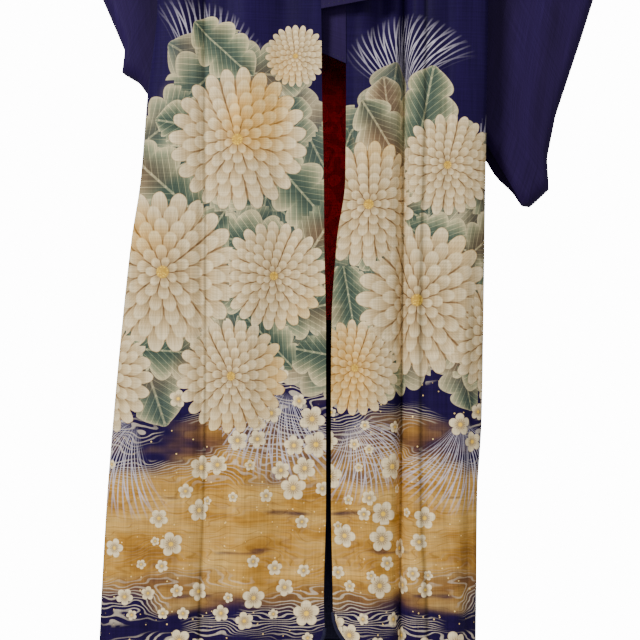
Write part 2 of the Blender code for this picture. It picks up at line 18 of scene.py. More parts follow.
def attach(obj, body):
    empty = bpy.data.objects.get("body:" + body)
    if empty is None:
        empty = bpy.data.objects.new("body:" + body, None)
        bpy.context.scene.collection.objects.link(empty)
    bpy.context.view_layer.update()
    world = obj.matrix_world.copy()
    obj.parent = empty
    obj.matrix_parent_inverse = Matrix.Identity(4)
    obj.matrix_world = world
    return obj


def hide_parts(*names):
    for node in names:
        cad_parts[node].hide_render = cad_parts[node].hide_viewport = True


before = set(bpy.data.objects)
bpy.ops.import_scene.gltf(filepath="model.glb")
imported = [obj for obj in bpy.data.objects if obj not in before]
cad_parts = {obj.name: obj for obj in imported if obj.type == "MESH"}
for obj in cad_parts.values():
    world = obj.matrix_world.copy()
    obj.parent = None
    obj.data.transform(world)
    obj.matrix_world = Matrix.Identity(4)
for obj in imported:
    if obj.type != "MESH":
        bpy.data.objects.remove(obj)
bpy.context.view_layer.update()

# %% [markdown]
# ## Cut sizes
#
# A kimono is cut from one narrow bolt, so its panels have known widths. The driving sizes
# are the same as the workbench model's, in metres. Heights are counted up from the hem.

# %% Cut sizes and heights
LENGTH = 1.535            # shoulder to hem
BACK_WIDTH = 0.30         # centre back seam to side seam
FRONT_WIDTH = 0.24        # side seam to overlap seam
OVERLAP_HEM = 0.15        # front overlap at the hem
OVERLAP_END = 0.135       # front overlap at the collar's end
NECK_HALF = 0.085
NECK_DROP = 0.024
SLEEVE_SEAM = 0.23
SLIT = 0.13
COLLAR_NECK = 0.055
COLLAR_END = 0.075
OVER_COLLAR_DROP = 0.45
LINING_TOP = 0.415        # seam between the hem lining and the upper lining
SHOULDER_Z = -0.085
HEM_Z = SHOULDER_Z - LENGTH
STRAIGHT = 0.95           # up to here every section is level
SLIT_FOOT = LENGTH - SLEEVE_SEAM - SLIT
SLEEVE_FOOT = LENGTH - SLEEVE_SEAM
TIP_HEIGHT = LENGTH - 0.245
HANGER_HALF = 0.215
HANGER_DROP = 0.045
DROOP = 1.5
DROOP_SOFT = 0.012
TURN = 0.012              # radius of the round turn at the outer edges
BACK_INSET = 0.014
RIDGE = 0.020             # radius of the cloth over the shoulder
WALL = 0.0013             # silk with its lining
BACK_HALF_CLOTH = OVERLAP_HEM + FRONT_WIDTH + BACK_WIDTH
print("hem at z =", HEM_Z, "and half the cloth's width is", round(BACK_HALF_CLOTH, 3))

# %% [markdown]
# ## How the cloth hangs
#
# Hanging cloth is drawn best as level sections, one above the other: the front edge, the
# overlap seam and the outer edge wander a little from height to height, and soft creases
# run down the fronts. Short tables hold those places, and a smooth curve runs through
# each column, so that nothing shows a kink.

# %% Tables of the drape
COLUMNS = ("height", "edge", "seam", "outer", "front", "back")
SECTIONS = {
    "right": [
        (0.000, -0.0040, 0.1560, 0.2820, 0.064, 0.050),
        (0.065, -0.0010, 0.1545, 0.2790, 0.065, 0.050),
        (0.190, -0.0037, 0.1500, 0.2720, 0.066, 0.051),
        (0.290, -0.0037, 0.1480, 0.2640, 0.067, 0.052),
        (0.400, -0.0037, 0.1475, 0.2540, 0.067, 0.052),
        (0.515, -0.0015, 0.1475, 0.2410, 0.067, 0.051),
        (0.590, -0.0010, 0.1485, 0.2290, 0.067, 0.050),
        (0.700, 0.0012, 0.1490, 0.2200, 0.067, 0.048),
        (0.815, 0.0025, 0.1490, 0.2080, 0.066, 0.046),
        (0.950, 0.0150, 0.1350, 0.2080, 0.062, 0.043),
        (SLIT_FOOT, 0.0440, 0.0900, 0.2200, 0.052, 0.038),
        (SLEEVE_FOOT, 0.0590, 0.0590, 0.2380, 0.042, 0.034),
        (LENGTH, NECK_HALF, NECK_HALF, 0.2620, RIDGE, RIDGE),
    ],
    "left": [
        (0.000, 0.0125, 0.1310, 0.1935, 0.066, 0.050),
        (0.065, 0.0122, 0.1290, 0.1940, 0.065, 0.050),
        (0.190, 0.0100, 0.1225, 0.1950, 0.062, 0.051),
        (0.290, 0.0100, 0.1225, 0.2010, 0.060, 0.052),
        (0.400, 0.0105, 0.1225, 0.2030, 0.058, 0.052),
        (0.515, 0.0175, 0.1240, 0.2045, 0.056, 0.051),
        (0.590, 0.0280, 0.1265, 0.2055, 0.055, 0.050),
        (0.700, 0.0290, 0.1290, 0.2070, 0.054, 0.048),
        (0.815, 0.0290, 0.1300, 0.2090, 0.052, 0.046),
        (0.950, 0.0340, 0.1260, 0.2090, 0.048, 0.043),
        (SLIT_FOOT, 0.0520, 0.0930, 0.2200, 0.041, 0.038),
        (SLEEVE_FOOT, 0.0620, 0.0620, 0.2380, 0.035, 0.034),
        (LENGTH, NECK_HALF, NECK_HALF, 0.2620, RIDGE, RIDGE),
    ],
}
# Creases: place across and depth towards the back, each at the hem and at 0.815 m, then
# half width and the heights where the crease begins and dies
CREASE_COLUMNS = ("x_hem", "x_up", "deep_hem", "deep_up", "half", "begins", "dies")
CREASES = {
    "right": [
        (0.0550, 0.0500, 0.0040, 0.0060, 0.020, -1.0, 1.35),
        (0.1000, 0.0950, -0.0080, -0.0080, 0.026, -1.0, 1.30),
        (0.1540, 0.1490, 0.0080, 0.0090, 0.010, -1.0, 1.15),
        (0.2200, 0.1780, 0.0050, -0.0040, 0.016, -1.0, 1.10),
        (0.0150, 0.0170, 0.0012, 0.0010, 0.007, -1.0, 1.00),
        (0.1240, 0.1190, 0.0016, 0.0022, 0.008, -1.0, 1.10),
        (0.1830, 0.1640, 0.0020, 0.0012, 0.007, -1.0, 0.90),
        (0.2430, 0.1950, 0.0024, 0.0014, 0.008, -1.0, 1.00),
    ],
    "left": [
        (0.0260, 0.0400, 0.0030, 0.0020, 0.008, -1.0, 1.00),
        (0.0560, 0.0620, -0.0120, -0.0050, 0.022, -1.0, 1.10),
        (0.0962, 0.1030, 0.0190, 0.0200, 0.007, -1.0, 1.15),
        (0.1310, 0.1300, 0.0030, 0.0030, 0.008, -1.0, 1.10),
        (0.0760, 0.0740, 0.0000, 0.0200, 0.019, 0.74, 1.12),
        (0.1120, 0.1160, -0.0020, -0.0015, 0.006, -1.0, 1.00),
        (0.1560, 0.1580, 0.0016, 0.0018, 0.006, -1.0, 0.95),
        (0.1800, 0.1900, 0.0020, 0.0012, 0.007, -1.0, 0.95),
    ],
}
CREASE_UP = 0.815
CREASE_FADE = 0.25
RECESS_START = 0.06       # length over which a crease that begins higher up sets in
FACETS = {"right": (0.262, 0.196, 0.6), "left": (0.168, 0.198, 1.3)}
BACK_FOLDS = [(0.055, 0.14, 0.022), (0.112, -0.11, 0.023), (0.160, 0.12, 0.021)]
HEM_CORNER = {"right": 0.030, "left": 0.050}


def smooth_step(value):
    share = np.clip(value, 0.0, 1.0)
    return share * share * (3.0 - 2.0 * share)


def rise(value, start, length):
    """Rises smoothly from 0 at the start to 1 a length further on."""
    return smooth_step((value - start) / length)


def smooth_between(where, places, values):
    """Smooth curve through a table's values that never overshoots them."""
    places, values = np.asarray(places, float), np.asarray(values, float)
    span = np.diff(places)
    slope = np.diff(values) / span
    product = slope[:-1] * slope[1:]
    total = np.where(product > 0.0, slope[:-1] + slope[1:], 1.0)
    rate = np.where(product > 0.0, 2.0 * product / total, 0.0)
    rate = np.concatenate([slope[:1], rate, slope[-1:]])
    i = np.clip(np.searchsorted(places, where, side="right") - 1, 0, len(span) - 1)
    t = (where - places[i]) / span[i]
    climb = values[i + 1] - values[i]
    bend = t * (1.0 - t) * ((1.0 - t) * rate[i] - t * rate[i + 1]) * span[i]
    return values[i] + climb * t * t * (3.0 - 2.0 * t) + bend


def at_height(side, column, height):
    rows = SECTIONS[side]
    index = COLUMNS.index(column)
    return float(smooth_between(height, [r[0] for r in rows], [r[index] for r in rows]))


print("outer edges at 0.5 m:", [round(at_height(side, "outer", 0.5), 4) for side in SECTIONS])

# %% [markdown]
# The front stands about 6 cm before the hanger's plane. Creases are narrow bells taken
# from that depth, and the outer part of each front turns back like the facet of a column.
# A faint uneven ripple keeps the flat parts from looking like sheet metal.

# %% Depth of the front
RIPPLE = 0.0011
RIPPLE_FADE = 0.2         # below the shoulder
FACET_SOFT = 0.004        # how softly the facet's edge turns


def ripple(side, x, height):
    """Slight unevenness of hanging silk, longer down the cloth than across it."""
    shift = 11.0 if side == "left" else 3.0
    return np.array([noise.noise(Vector((40.0 * value + shift, 5.0 * height, shift)))
                     for value in x])


def front_depth(side, x, height):
    up = min(height / CREASE_UP, 1.0)
    depth = np.full_like(x, at_height(side, "front", height))
    for row in CREASES[side]:
        crease = dict(zip(CREASE_COLUMNS, row))
        place = crease["x_hem"] + (crease["x_up"] - crease["x_hem"]) * up
        deep = crease["deep_hem"] + (crease["deep_up"] - crease["deep_hem"]) * up
        alive = smooth_step((crease["dies"] - height) / CREASE_FADE)
        alive *= rise(height, crease["begins"], RECESS_START)
        away = (x - place) / crease["half"]
        depth -= deep * alive / (1.0 + away * away) ** 1.5
    hem_turn, up_turn, slope = FACETS[side]
    past = x - (hem_turn + (up_turn - hem_turn) * up)
    alive = smooth_step((SLIT_FOOT - height) / CREASE_FADE)
    past = FACET_SOFT * np.log1p(np.exp(np.clip(past / FACET_SOFT, -30, 30)))
    depth -= slope * alive * past
    below = smooth_step((LENGTH - height) / RIPPLE_FADE)
    return depth + RIPPLE * ripple(side, x, height) * below


print("front depth at 0.4 m:", np.round(front_depth("left", np.array([0.05, 0.1]), 0.4), 4))

# %% [markdown]
# Seen from above, one half of the body is a single strip: front, a round turn, a deep tuck
# at the side, another turn and the back. The cloth has a fixed width, so the depth of the
# tuck is found by halving a range until the strip is exactly as long as the cut cloth.
# The slit under the arm parts the strip, and beside the sleeve only the flats are left.

# %% Level sections of the body
def opened(height):
    share = min(1.0, max(0.0, (height - SLIT_FOOT) / SLIT))
    return share * (2.0 - share)


def turned(height):
    return math.sin(math.pi / 2 * min(1.0, 2.0 * (1.0 - opened(height))))


def front_end(side, height):
    return at_height(side, "outer", height) - TURN * turned(height)


def back_end(side, height):
    return front_end(side, height) - BACK_INSET * turned(height)


def front_line(side, height, start, stop, count=150):
    x = np.linspace(start, stop, count)
    return np.column_stack([x, -front_depth(side, x, height)])


def back_line(side, height, amount):
    end = back_end(side, height)
    x = np.linspace(end, 0.0, 150)
    y = np.full_like(x, at_height(side, "back", height))
    alive = 1.0 - rise(height, STRAIGHT, CREASE_FADE)
    for place, share, half in BACK_FOLDS:
        away = (x - place * end / 0.20) / half
        y -= share * amount * alive / (1.0 + away * away) ** 2
    return np.column_stack([x, y])


def side_line(front, back, amount, height):
    angle = np.linspace(0.0, math.pi / 2, 12)
    turn = np.column_stack([TURN * np.sin(angle), TURN * (1.0 - np.cos(angle))])
    first = turn + front[-1]
    last = (turn * (1, -1) + back[0])[::-1]
    share = np.linspace(0.0, 1.0, 101)
    x = first[-1, 0] + (last[0, 0] - first[-1, 0]) * share
    x -= amount * np.sin(math.pi * share) ** 2
    power = 1.7 - 0.7 * rise(height, STRAIGHT, SLIT_FOOT - STRAIGHT)
    lean = np.sign(share - 0.5) * np.abs(2.0 * share - 1.0) ** power
    y = first[-1, 1] + (last[0, 1] - first[-1, 1]) * (0.5 + 0.5 * lean)
    return np.vstack([first, np.column_stack([x, y])[1:-1], last])


def run_length(line):
    return np.concatenate([[0.0], np.cumsum(np.hypot(*np.diff(line, axis=0).T))])


def pick(line, shares):
    length = run_length(line)
    share = length / length[-1]
    return np.column_stack([np.interp(shares, share, line[:, i]) for i in (0, 1)])


def section(side, height, amount):
    """Front from the overlap seam, and back to the centre; they meet at the side seam."""
    front = front_line(side, height, at_height(side, "seam", height), front_end(side, height))
    back = back_line(side, height, amount)
    keep = 1.0 - opened(height)
    if keep < 0.001:
        return front, back
    side_way = side_line(front, back, amount, height)
    place = (FRONT_WIDTH - run_length(front)[-1]) / run_length(side_way)[-1]
    place = min(0.80, max(0.20, place))
    first = pick(side_way, np.linspace(0.0, place * keep, 90))
    last = pick(side_way, np.linspace(1.0 - (1.0 - place) * keep, 1.0, 90))
    return np.vstack([front, first[1:]]), np.vstack([last[:-1], back])


def overlap_width(height):
    end = LENGTH - 0.725
    below = OVERLAP_HEM + (OVERLAP_END - OVERLAP_HEM) * min(height, end) / end
    taper = (TIP_HEIGHT - height) / (TIP_HEIGHT - end)
    return below * min(1.0, max(0.0, taper))


def tuck_amount(side, height):
    level = min(height, STRAIGHT)
    wanted = overlap_width(level) + FRONT_WIDTH + BACK_WIDTH
    low, high = 0.0, 0.15
    edge, seam = at_height(side, "edge", level), at_height(side, "seam", level)
    lap = run_length(front_line(side, level, edge, seam))[-1]
    for _ in range(14):
        middle = (low + high) / 2
        length = lap + sum(run_length(line)[-1] for line in section(side, level, middle))
        low, high = (middle, high) if length < wanted else (low, middle)
    return low * (1.0 - rise(height, STRAIGHT, LENGTH - 0.06 - STRAIGHT))


TUCK_HEIGHTS = np.concatenate([np.linspace(0.0, STRAIGHT, 12), np.linspace(1.0, LENGTH, 8)])
TUCKS = {side: [tuck_amount(side, h) for h in TUCK_HEIGHTS] for side in SECTIONS}
print("side tucks at the hem:", {side: round(rows[0], 3) for side, rows in TUCKS.items()})

# %% [markdown]
# ## From sections to a net of cloth
#
# Sections are stacked into a grid of points. Above the waist the rows slope with the
# shoulder and go over it on a small radius. Every point also keeps its place on the cloth
# itself, as a UV map called "panel": how far it is from the front edge and from the hem,
# in metres. The dyed design is drawn on those coordinates, so it follows every fold.

# %% Nets of points
WELD = 0.00003            # points this near are one


def shoulder_z(x):
    x = np.abs(x)
    on_bar = SHOULDER_Z - HANGER_DROP * (np.minimum(x, HANGER_HALF) / HANGER_HALF) ** 1.5
    past = x - HANGER_HALF
    return on_bar - DROOP * (past + np.hypot(past, DROOP_SOFT)) / 2


def place_row(side, line, height):
    """A section's points in the room."""
    x, y = line[:, 0], line[:, 1]
    if height <= STRAIGHT:
        z = np.full_like(x, HEM_Z + height)
    else:
        base = HEM_Z + STRAIGHT
        z = base + (shoulder_z(x) - base) * (height - STRAIGHT) / (LENGTH - STRAIGHT)
    below = LENGTH - height
    if below < RIDGE:
        y = y * math.sqrt(max(0.0, 1.0 - (1.0 - below / RIDGE) ** 2))
    sign = 1.0 if side == "left" else -1.0
    return np.column_stack([sign * x, y, z])


print("shoulder at the neck and at the hanger's end:", np.round(shoulder_z([0, HANGER_HALF]), 3))

# %% [markdown]
# A net becomes cloth in two steps: a mesh is made through its points, and the Solidify
# modifier gives it a wall. Each piece is then an object that stays at the origin, with
# its place in its mesh.

# %% Meshes and walls
def in_scene(name, data):
    thing = bpy.data.objects.new(name, data)
    bpy.context.scene.collection.objects.link(thing)
    return thing


def mesh_object(name, points, faces, panel, weld=0.0):
    """Mesh with its "panel" map. Nets are welded, and a tube gets its faces turned out."""
    mesh = bpy.data.meshes.new(name)
    mesh.from_pydata(points.tolist(), [], faces)
    corners = [corner for face in faces for corner in face]
    mesh.uv_layers.new(name="panel").data.foreach_set("uv", panel[corners].ravel())
    shape = bmesh.new()
    shape.from_mesh(mesh)
    if weld:
        bmesh.ops.remove_doubles(shape, verts=shape.verts, dist=weld)
    else:
        bmesh.ops.recalc_face_normals(shape, faces=shape.faces)
    shape.to_mesh(mesh)
    shape.free()
    return in_scene(name, mesh)


def cloth_mesh(name, nets, flip):
    """One piece of cloth through one net of points, or through two that meet."""
    points, panels, faces = [], [], []
    for net, panel in nets:
        rows, columns = net.shape[:2]
        start = sum(len(block) for block in points)
        index = start + np.arange(rows * columns).reshape(rows, columns)
        corners = [index[:-1, :-1], index[:-1, 1:], index[1:, 1:], index[1:, :-1]]
        faces.append(np.stack(corners[::-1] if flip else corners, -1).reshape(-1, 4))
        points.append(net.reshape(-1, 3))
        panels.append(panel.reshape(-1, 2))
    return mesh_object(name, np.vstack(points), np.vstack(faces).tolist(),
                       np.vstack(panels), WELD)


def thicken(thing, wall, inner_slot=0):
    """Gives a sheet its thickness; the inner face may take the next material slot."""
    bpy.ops.object.select_all(action="DESELECT")
    bpy.context.view_layer.objects.active = thing
    thing.select_set(True)
    modifier = thing.modifiers.new("wall", "SOLIDIFY")
    modifier.thickness = wall
    modifier.offset = 0.0
    modifier.use_even_offset = True
    modifier.thickness_clamp = 1.0
    modifier.material_offset = inner_slot
    bpy.ops.object.modifier_apply(modifier=modifier.name)
    thing.data.shade_smooth()
    thing.data.set_sharp_from_angle(angle=math.radians(60))
    print(thing.name, "has", len(thing.data.polygons), "faces")


print("helpers for cloth are ready")

# %% [markdown]
# The body's rows lie closer where the shoulder turns. Columns run from the overlap seam
# out to the side seam, and from the side seam to the centre back. The cloth dips a little
# beside each seam, the neck is cut lower at the back, and the hem sags there.

# %% Nets of the body
HEIGHTS = np.unique(np.round(np.concatenate([
    np.linspace(0.0, STRAIGHT, 150), np.linspace(STRAIGHT, SLIT_FOOT, 34),
    np.linspace(SLIT_FOOT, SLEEVE_FOOT, 27), np.linspace(SLEEVE_FOOT, LENGTH - RIDGE, 30),
    LENGTH - RIDGE * (1 - np.sin(np.linspace(0, math.pi / 2, 8)))]), 6))
FLAT_SHARES = np.linspace(0.0, 1.0, 40)
SIDE_SHARES = np.linspace(0.0, 1.0, 30)[1:]
NECK_SHARES = np.linspace(0.0, 1.0, 20)[1:]
SEAM_DIP = 0.0007         # how far the cloth dips beside a sewn seam
SEAM_SOFT = 0.0022
BACK_SAG = 0.009          # how much lower the hem hangs at the centre back
SAG_HEIGHT = 0.15         # the sag dies out at this height, and this far from the centre
SAG_HALF = 0.22


def split_columns(line, end):
    """Points of a line that runs outwards: its flat part, then its way round the side."""
    length = run_length(line)
    i = int(np.argmax(line[:, 0] >= end - 1e-9))
    share = np.interp(end, line[i - 1:i + 1, 0], length[i - 1:i + 1]) / length[-1]
    shares = np.concatenate([FLAT_SHARES * share, share + SIDE_SHARES * (1.0 - share)])
    return pick(line, shares), shares * length[-1]


def dip(points, distance, towards):
    """Lowers points near a seam, so that the two edges roll in towards each other."""
    points = points.copy()
    points[:, 1] += towards * SEAM_DIP * np.exp(-(distance / SEAM_SOFT) ** 2)
    return points


def neck_share(x):
    """How deep the neck is cut: 1 at the centre back, 0 where the shoulder begins."""
    return smooth_step((NECK_HALF - x) / (NECK_HALF * 0.6))


def body_nets(side):
    nets = {"front": [], "back": []}
    maps = {"front": [], "back": []}
    for height in HEIGHTS:
        amount = float(smooth_between(height, TUCK_HEIGHTS, TUCKS[side]))
        front, back = section(side, height, amount)
        front = pick(front, np.linspace(0.0, 1.0, 500))
        columns, run = split_columns(front, front_end(side, height))
        nets["front"].append(place_row(side, dip(columns, run, 1.0), height))
        maps["front"].append(np.column_stack([OVERLAP_HEM + run, np.full_like(run, height)]))
        corner = [NECK_HALF, np.interp(-NECK_HALF, -back[:, 0], back[:, 1])]
        outer_part = np.vstack([back[back[:, 0] > NECK_HALF], corner])[::-1]
        columns, run = split_columns(outer_part, back_end(side, height))
        x = NECK_HALF - NECK_SHARES * NECK_HALF
        y = np.interp(-x, -back[:, 0], back[:, 1])
        columns = np.vstack([columns[::-1], np.column_stack([x, y])])
        from_centre = np.concatenate([NECK_HALF + run[::-1], x])
        columns = dip(columns, from_centre, -1.0)
        row = place_row(side, columns, height)
        cut = NECK_DROP * neck_share(columns[:, 0]) * (height / LENGTH) ** 6
        for i in np.flatnonzero(cut > 1e-6):
            row[i] = place_row(side, columns[i:i + 1], height - cut[i])[0]
        near_hem = max(1.0 - height / SAG_HEIGHT, 0.0) ** 2
        row[:, 2] -= BACK_SAG * near_hem * (1.0 - smooth_step(from_centre / SAG_HALF))
        nets["back"].append(row)
        maps["back"].append(np.column_stack([BACK_HALF_CLOTH - from_centre,
                                             np.full_like(from_centre, height)]))
    return [(np.array(nets[key]), np.array(maps[key])) for key in ("front", "back")]


BODIES = {side: body_nets(side) for side in ("right", "left")}
print("net of one half:", BODIES["left"][0][0].shape, BODIES["left"][1][0].shape)

# %% [markdown]
# The front overlap is the narrow panel sewn to each front. It ends in a tip up at the
# collar and, at the hem, in a rounded corner.

# %% Front overlaps
LAP_SHARES = np.concatenate([[0.0, 0.008], np.linspace(0.03, 0.97, 32), [0.99, 1.0]])
LAP_HEIGHTS = np.concatenate([np.linspace(0.0, 0.11, 24), np.linspace(0.116, TIP_HEIGHT, 190)])
CORNER_TOP = 0.11


def lap_net(side):
    radius = HEM_CORNER[side]
    net, panel = [], []
    for height in LAP_HEIGHTS:
        row, place = [], []
        for share in LAP_SHARES:
            aside = min(radius, share * OVERLAP_HEM)
            lift = radius - math.sqrt(radius ** 2 - (radius - aside) ** 2)
            here = height
            if height < CORNER_TOP:
                here = lift + height * (CORNER_TOP - lift) / CORNER_TOP
            if height < CORNER_TOP or not row:
                edge = at_height(side, "edge", here)
                line = front_line(side, here, edge, at_height(side, "seam", here), 60)
                length = run_length(line)[-1]
            point = pick(line, [share])
            point = dip(point, np.array([(1.0 - share) * length]), 1.0)
            row.append(place_row(side, point, here)[0])
            place.append((OVERLAP_HEM - (1.0 - share) * length, here))
        net.append(row)
        panel.append(place)
    return np.array(net), np.array(panel)


LAPS = {side: lap_net(side) for side in ("right", "left")}
print("overlap net:", LAPS["left"][0].shape)

# %% [markdown]
# The collar is one long strip, folded along its outer edge into two layers and sewn to
# the body's edge all round the neck. Here it is drawn through stations, each with a seam
# point and a direction across, and every station gets the section of a folded strip. A
# second, shorter strip lies over it at the neck, as on every formal kimono.

# %% Collar
COLLAR_FOOT = {"right": 0.804, "left": 0.7375}
COLLAR_SLOPE = {"right": 0.17, "left": 0.45}
COLLAR_LEAN = {"right": -0.10, "left": 0.08}
COLLAR_RAISED = 0.15      # over this height the collar turns up to stand round the neck
COLLAR_SINK = 0.0010      # the collar's edge is sewn down over the neck's edge
COLLAR_FOLD = 0.0011      # half the distance between the strip's two layers
OVER_FOLD = 0.0022        # how far the over-collar stands off the collar's middle
FACE_SHARES = np.linspace(0.0, 1.0, 12)


def collar_side(side):
    sign = 1.0 if side == "left" else -1.0
    foot = COLLAR_FOOT[side]
    stations = []
    for height in np.concatenate([np.linspace(foot, TIP_HEIGHT, 60),
                                  np.linspace(TIP_HEIGHT, LENGTH - 0.012, 40)[1:]]):
        edge = at_height(side, "edge", height)
        y = -float(front_depth(side, np.array([edge]), height)[0])
        seam = place_row(side, np.array([[edge, y]]), height)[0]
        share = (height - foot) / (LENGTH - foot)
        width = COLLAR_END + (COLLAR_NECK - COLLAR_END) * share
        raised = rise(height, LENGTH - COLLAR_RAISED, COLLAR_RAISED)
        slope = COLLAR_SLOPE[side] * (1.0 - rise(share, 0.0, 0.12))
        flat = Vector((-sign, COLLAR_LEAN[side] * (1.0 - raised), slope))
        across = flat.normalized().lerp(Vector((-sign * 0.45, -0.05, 0.9)), raised)
        stations.append((seam, np.array(across.normalized()) * width))
    return stations


def collar_stations():
    """From the wearer's right end, round the neck, to the left end."""
    neck = []
    for station in np.linspace(0.0, 1.0, 16):
        x = NECK_HALF * (1.0 - station)
        cut = NECK_DROP * neck_share(x)
        point = place_row("left", np.array([[x, RIDGE]]), LENGTH - cut)[0]
        point[2] -= COLLAR_SINK
        across = Vector((-0.40 * (1.0 - station), 0.12 * station, 0.9)).normalized()
        neck.append((point, np.array(across) * COLLAR_NECK))
    turn = np.array([-1.0, 1.0, 1.0])
    mirrored = [(point * turn, across * turn) for point, across in neck]
    return (collar_side("right") + mirrored[:-1] + neck[::-1]
            + collar_side("left")[::-1])


def station_normals(stations):
    seams = np.array([seam for seam, _ in stations])
    across = np.array([way for _, way in stations])
    along = np.gradient(seams, axis=0)
    normal = np.cross(along, across)
    normal /= np.linalg.norm(normal, axis=1)[:, None]
    return seams, across, -normal


def folded_net(stations, layer, start=0.0, stop=1.0):
    """Folded strip: outer layer, round fold and inner layer, a little off the middle."""
    seams, across, normal = station_normals(stations)
    bend = np.linspace(-math.pi / 2, math.pi / 2, 7)[1:-1]
    width = float(np.linalg.norm(across, axis=1).mean())
    faces = start + (stop - start) * FACE_SHARES
    share = np.concatenate([faces, stop + np.cos(bend) * layer / width, faces[::-1]])
    off = np.concatenate([np.full(len(faces), 1.0), -np.sin(bend), np.full(len(faces), -1.0)])
    net = (seams[:, None] + across[:, None] * share[None, :, None]
           + normal[:, None] * (off * layer)[None, :, None])
    run = np.concatenate([[0.0], np.cumsum(np.linalg.norm(np.diff(seams, axis=0), axis=1))])
    strip = np.concatenate([[0.0], np.cumsum(np.hypot(np.diff(share) * width,
                                                      np.diff(off) * layer))])
    panel = np.stack(np.meshgrid(strip, run), -1)
    return net, panel


STATIONS = collar_stations()
OVER_STATIONS = [row for row in STATIONS if row[0][2] > SHOULDER_Z - OVER_COLLAR_DROP]
print("collar's seam:", round(sum(float(np.linalg.norm(b[0] - a[0]))
                                  for a, b in zip(STATIONS, STATIONS[1:])), 3), "m long")

# %% [markdown]
# A kimono sleeve is a flat bag that hangs from the top of the shoulder. Its cuff is open
# for the upper part of the outer edge and its body side is open below the shoulder seam.
# The two walls are nets between an inner and an outer edge, and close up at the folds.
# A sleeve is 32 cm wide and hangs steeply, so its outer part has swung round behind it.

# %% Sleeves
SLEEVE_INNER = {
    "right": [(0.2430, -0.385), (0.2320, -0.480), (0.2080, -0.620), (0.1750, -0.780),
              (0.1560, -0.860)],
    "left": [(0.2430, -0.385), (0.2320, -0.480), (0.2120, -0.640), (0.1850, -0.800),
             (0.1640, -0.900)],
}
SLEEVE_OUTER = {
    "right": [(0.400, -0.465), (0.368, -0.580), (0.318, -0.700), (0.272, -0.805),
              (0.252, -0.852), (0.255, -0.880), (0.233, -0.893), (0.196, -0.945)],
    "left": [(0.420, -0.475), (0.405, -0.580), (0.366, -0.720), (0.330, -0.835),
             (0.297, -0.935), (0.286, -0.990), (0.288, -1.030), (0.259, -1.0575)],
}
SLEEVE_MID = {"right": -0.009, "left": -0.004}
SLEEVE_HALF = 0.0072
SEAM_FOOT_GAP = 0.0020
SEAM_FOOT_RUN = 0.075
FOLD_RADIUS = 0.012
SLEEVE_ACROSS = np.concatenate([np.linspace(0.0, 0.955, 76), np.linspace(0.963, 1.0, 9)])
BACK_DROP = {"right": 0.003, "left": 0.017}    # how far the part behind hangs lower
TURN_BACK = 0.0105         # radius of the bend where the sleeve's outer part turns back
TURNED_BACK = 0.86         # how much of its width then runs back behind it
LEAST_IN_FRONT = 0.3       # share of the width that always stays in front
MOST_BEHIND = 0.92         # the part behind is at most this share of the part in front
LEAVES_BODY = 0.7          # share of the front part in which a row leaves the body's depth
FOLDS_LEAN = 0.12          # how far the folds wander across, as a share of the width
FOLDS_END = 0.02           # they die out over this length from the start of the bend
DROP_RUN = 0.35            # the part behind drops over this share of the width
# Where each sets in down the sleeve, and over what length, as shares of its depth
BEND_SETS_IN = (0.01, 0.17)
PART_BEHIND_SETS_IN = (0.13, 0.15)
CUFF_ENDS = (0.36, 0.012)
DROP_SETS_IN = (0.78, 0.18)
SLEEVE_ROWS = 110
# Soft folds: place across as a share of the width, depth, half width
SLEEVE_FOLDS = {
    "right": [(0.30, 0.0030, 0.070), (0.62, -0.0026, 0.080)],
    "left": [(0.26, 0.0030, 0.070), (0.50, -0.0020, 0.060), (0.74, 0.0022, 0.070)],
}
print("rows down a sleeve:", SLEEVE_ROWS)

# %% [markdown]
# The sleeve's inner edge is sewn to the body down to the slit and hangs free below it.
# Where the two walls meet in a fold, they close up in a quarter circle.

# %% Edges of the sleeve
def along_points(points, share):
    points = np.array(points)
    steps = run_length(points)
    return np.array([np.interp(share * steps[-1], steps, points[:, i]) for i in (0, 1)])


def round_off(distance, radius):
    inside = 1.0 - np.clip(distance / radius, 0.0, 1.0)
    return np.sqrt(np.maximum(0.0, 1.0 - inside * inside))


def sleeve_inner_edge(side):
    """Seam rows beside the body, then the free edge: place, depths of the two walls."""
    rows = []
    for height in np.concatenate([LENGTH - RIDGE * (1 - np.cos(np.linspace(0, 1.5, 8))),
                                  np.linspace(LENGTH - RIDGE, SLEEVE_FOOT, 32)[1:]]):
        foot = smooth_step((SLEEVE_FOOT + SEAM_FOOT_RUN - height) / SEAM_FOOT_RUN)
        outer = at_height(side, "outer", height) + SEAM_FOOT_GAP * foot
        depth = [[outer, -at_height(side, "front", height)],
                 [outer, at_height(side, "back", height)]]
        front, back = place_row("left", np.array(depth), height)
        rows.append((outer, front[2], front[1], back[1]))
    mid = SLEEVE_MID[side]
    seam_foot = rows[-1]
    free = [seam_foot[:2]] + SLEEVE_INNER[side]
    for share in np.linspace(0.0, 1.0, SLEEVE_ROWS - len(rows) + 1)[1:]:
        fade = rise(share, 0.0, 0.30)
        x, z = along_points(free, share)
        rows.append((x, z, seam_foot[2] * (1 - fade) + (mid - SLEEVE_HALF) * fade,
                     seam_foot[3] * (1 - fade) + (mid + SLEEVE_HALF) * fade))
    return np.array(rows)


print("inner edge of a sleeve:", sleeve_inner_edge("left").shape)

# %% [markdown]
# Each row of a sleeve is shared out in three: what runs straight in front, the bend, and
# what runs back behind. The two walls lie a little to either side of that middle line.

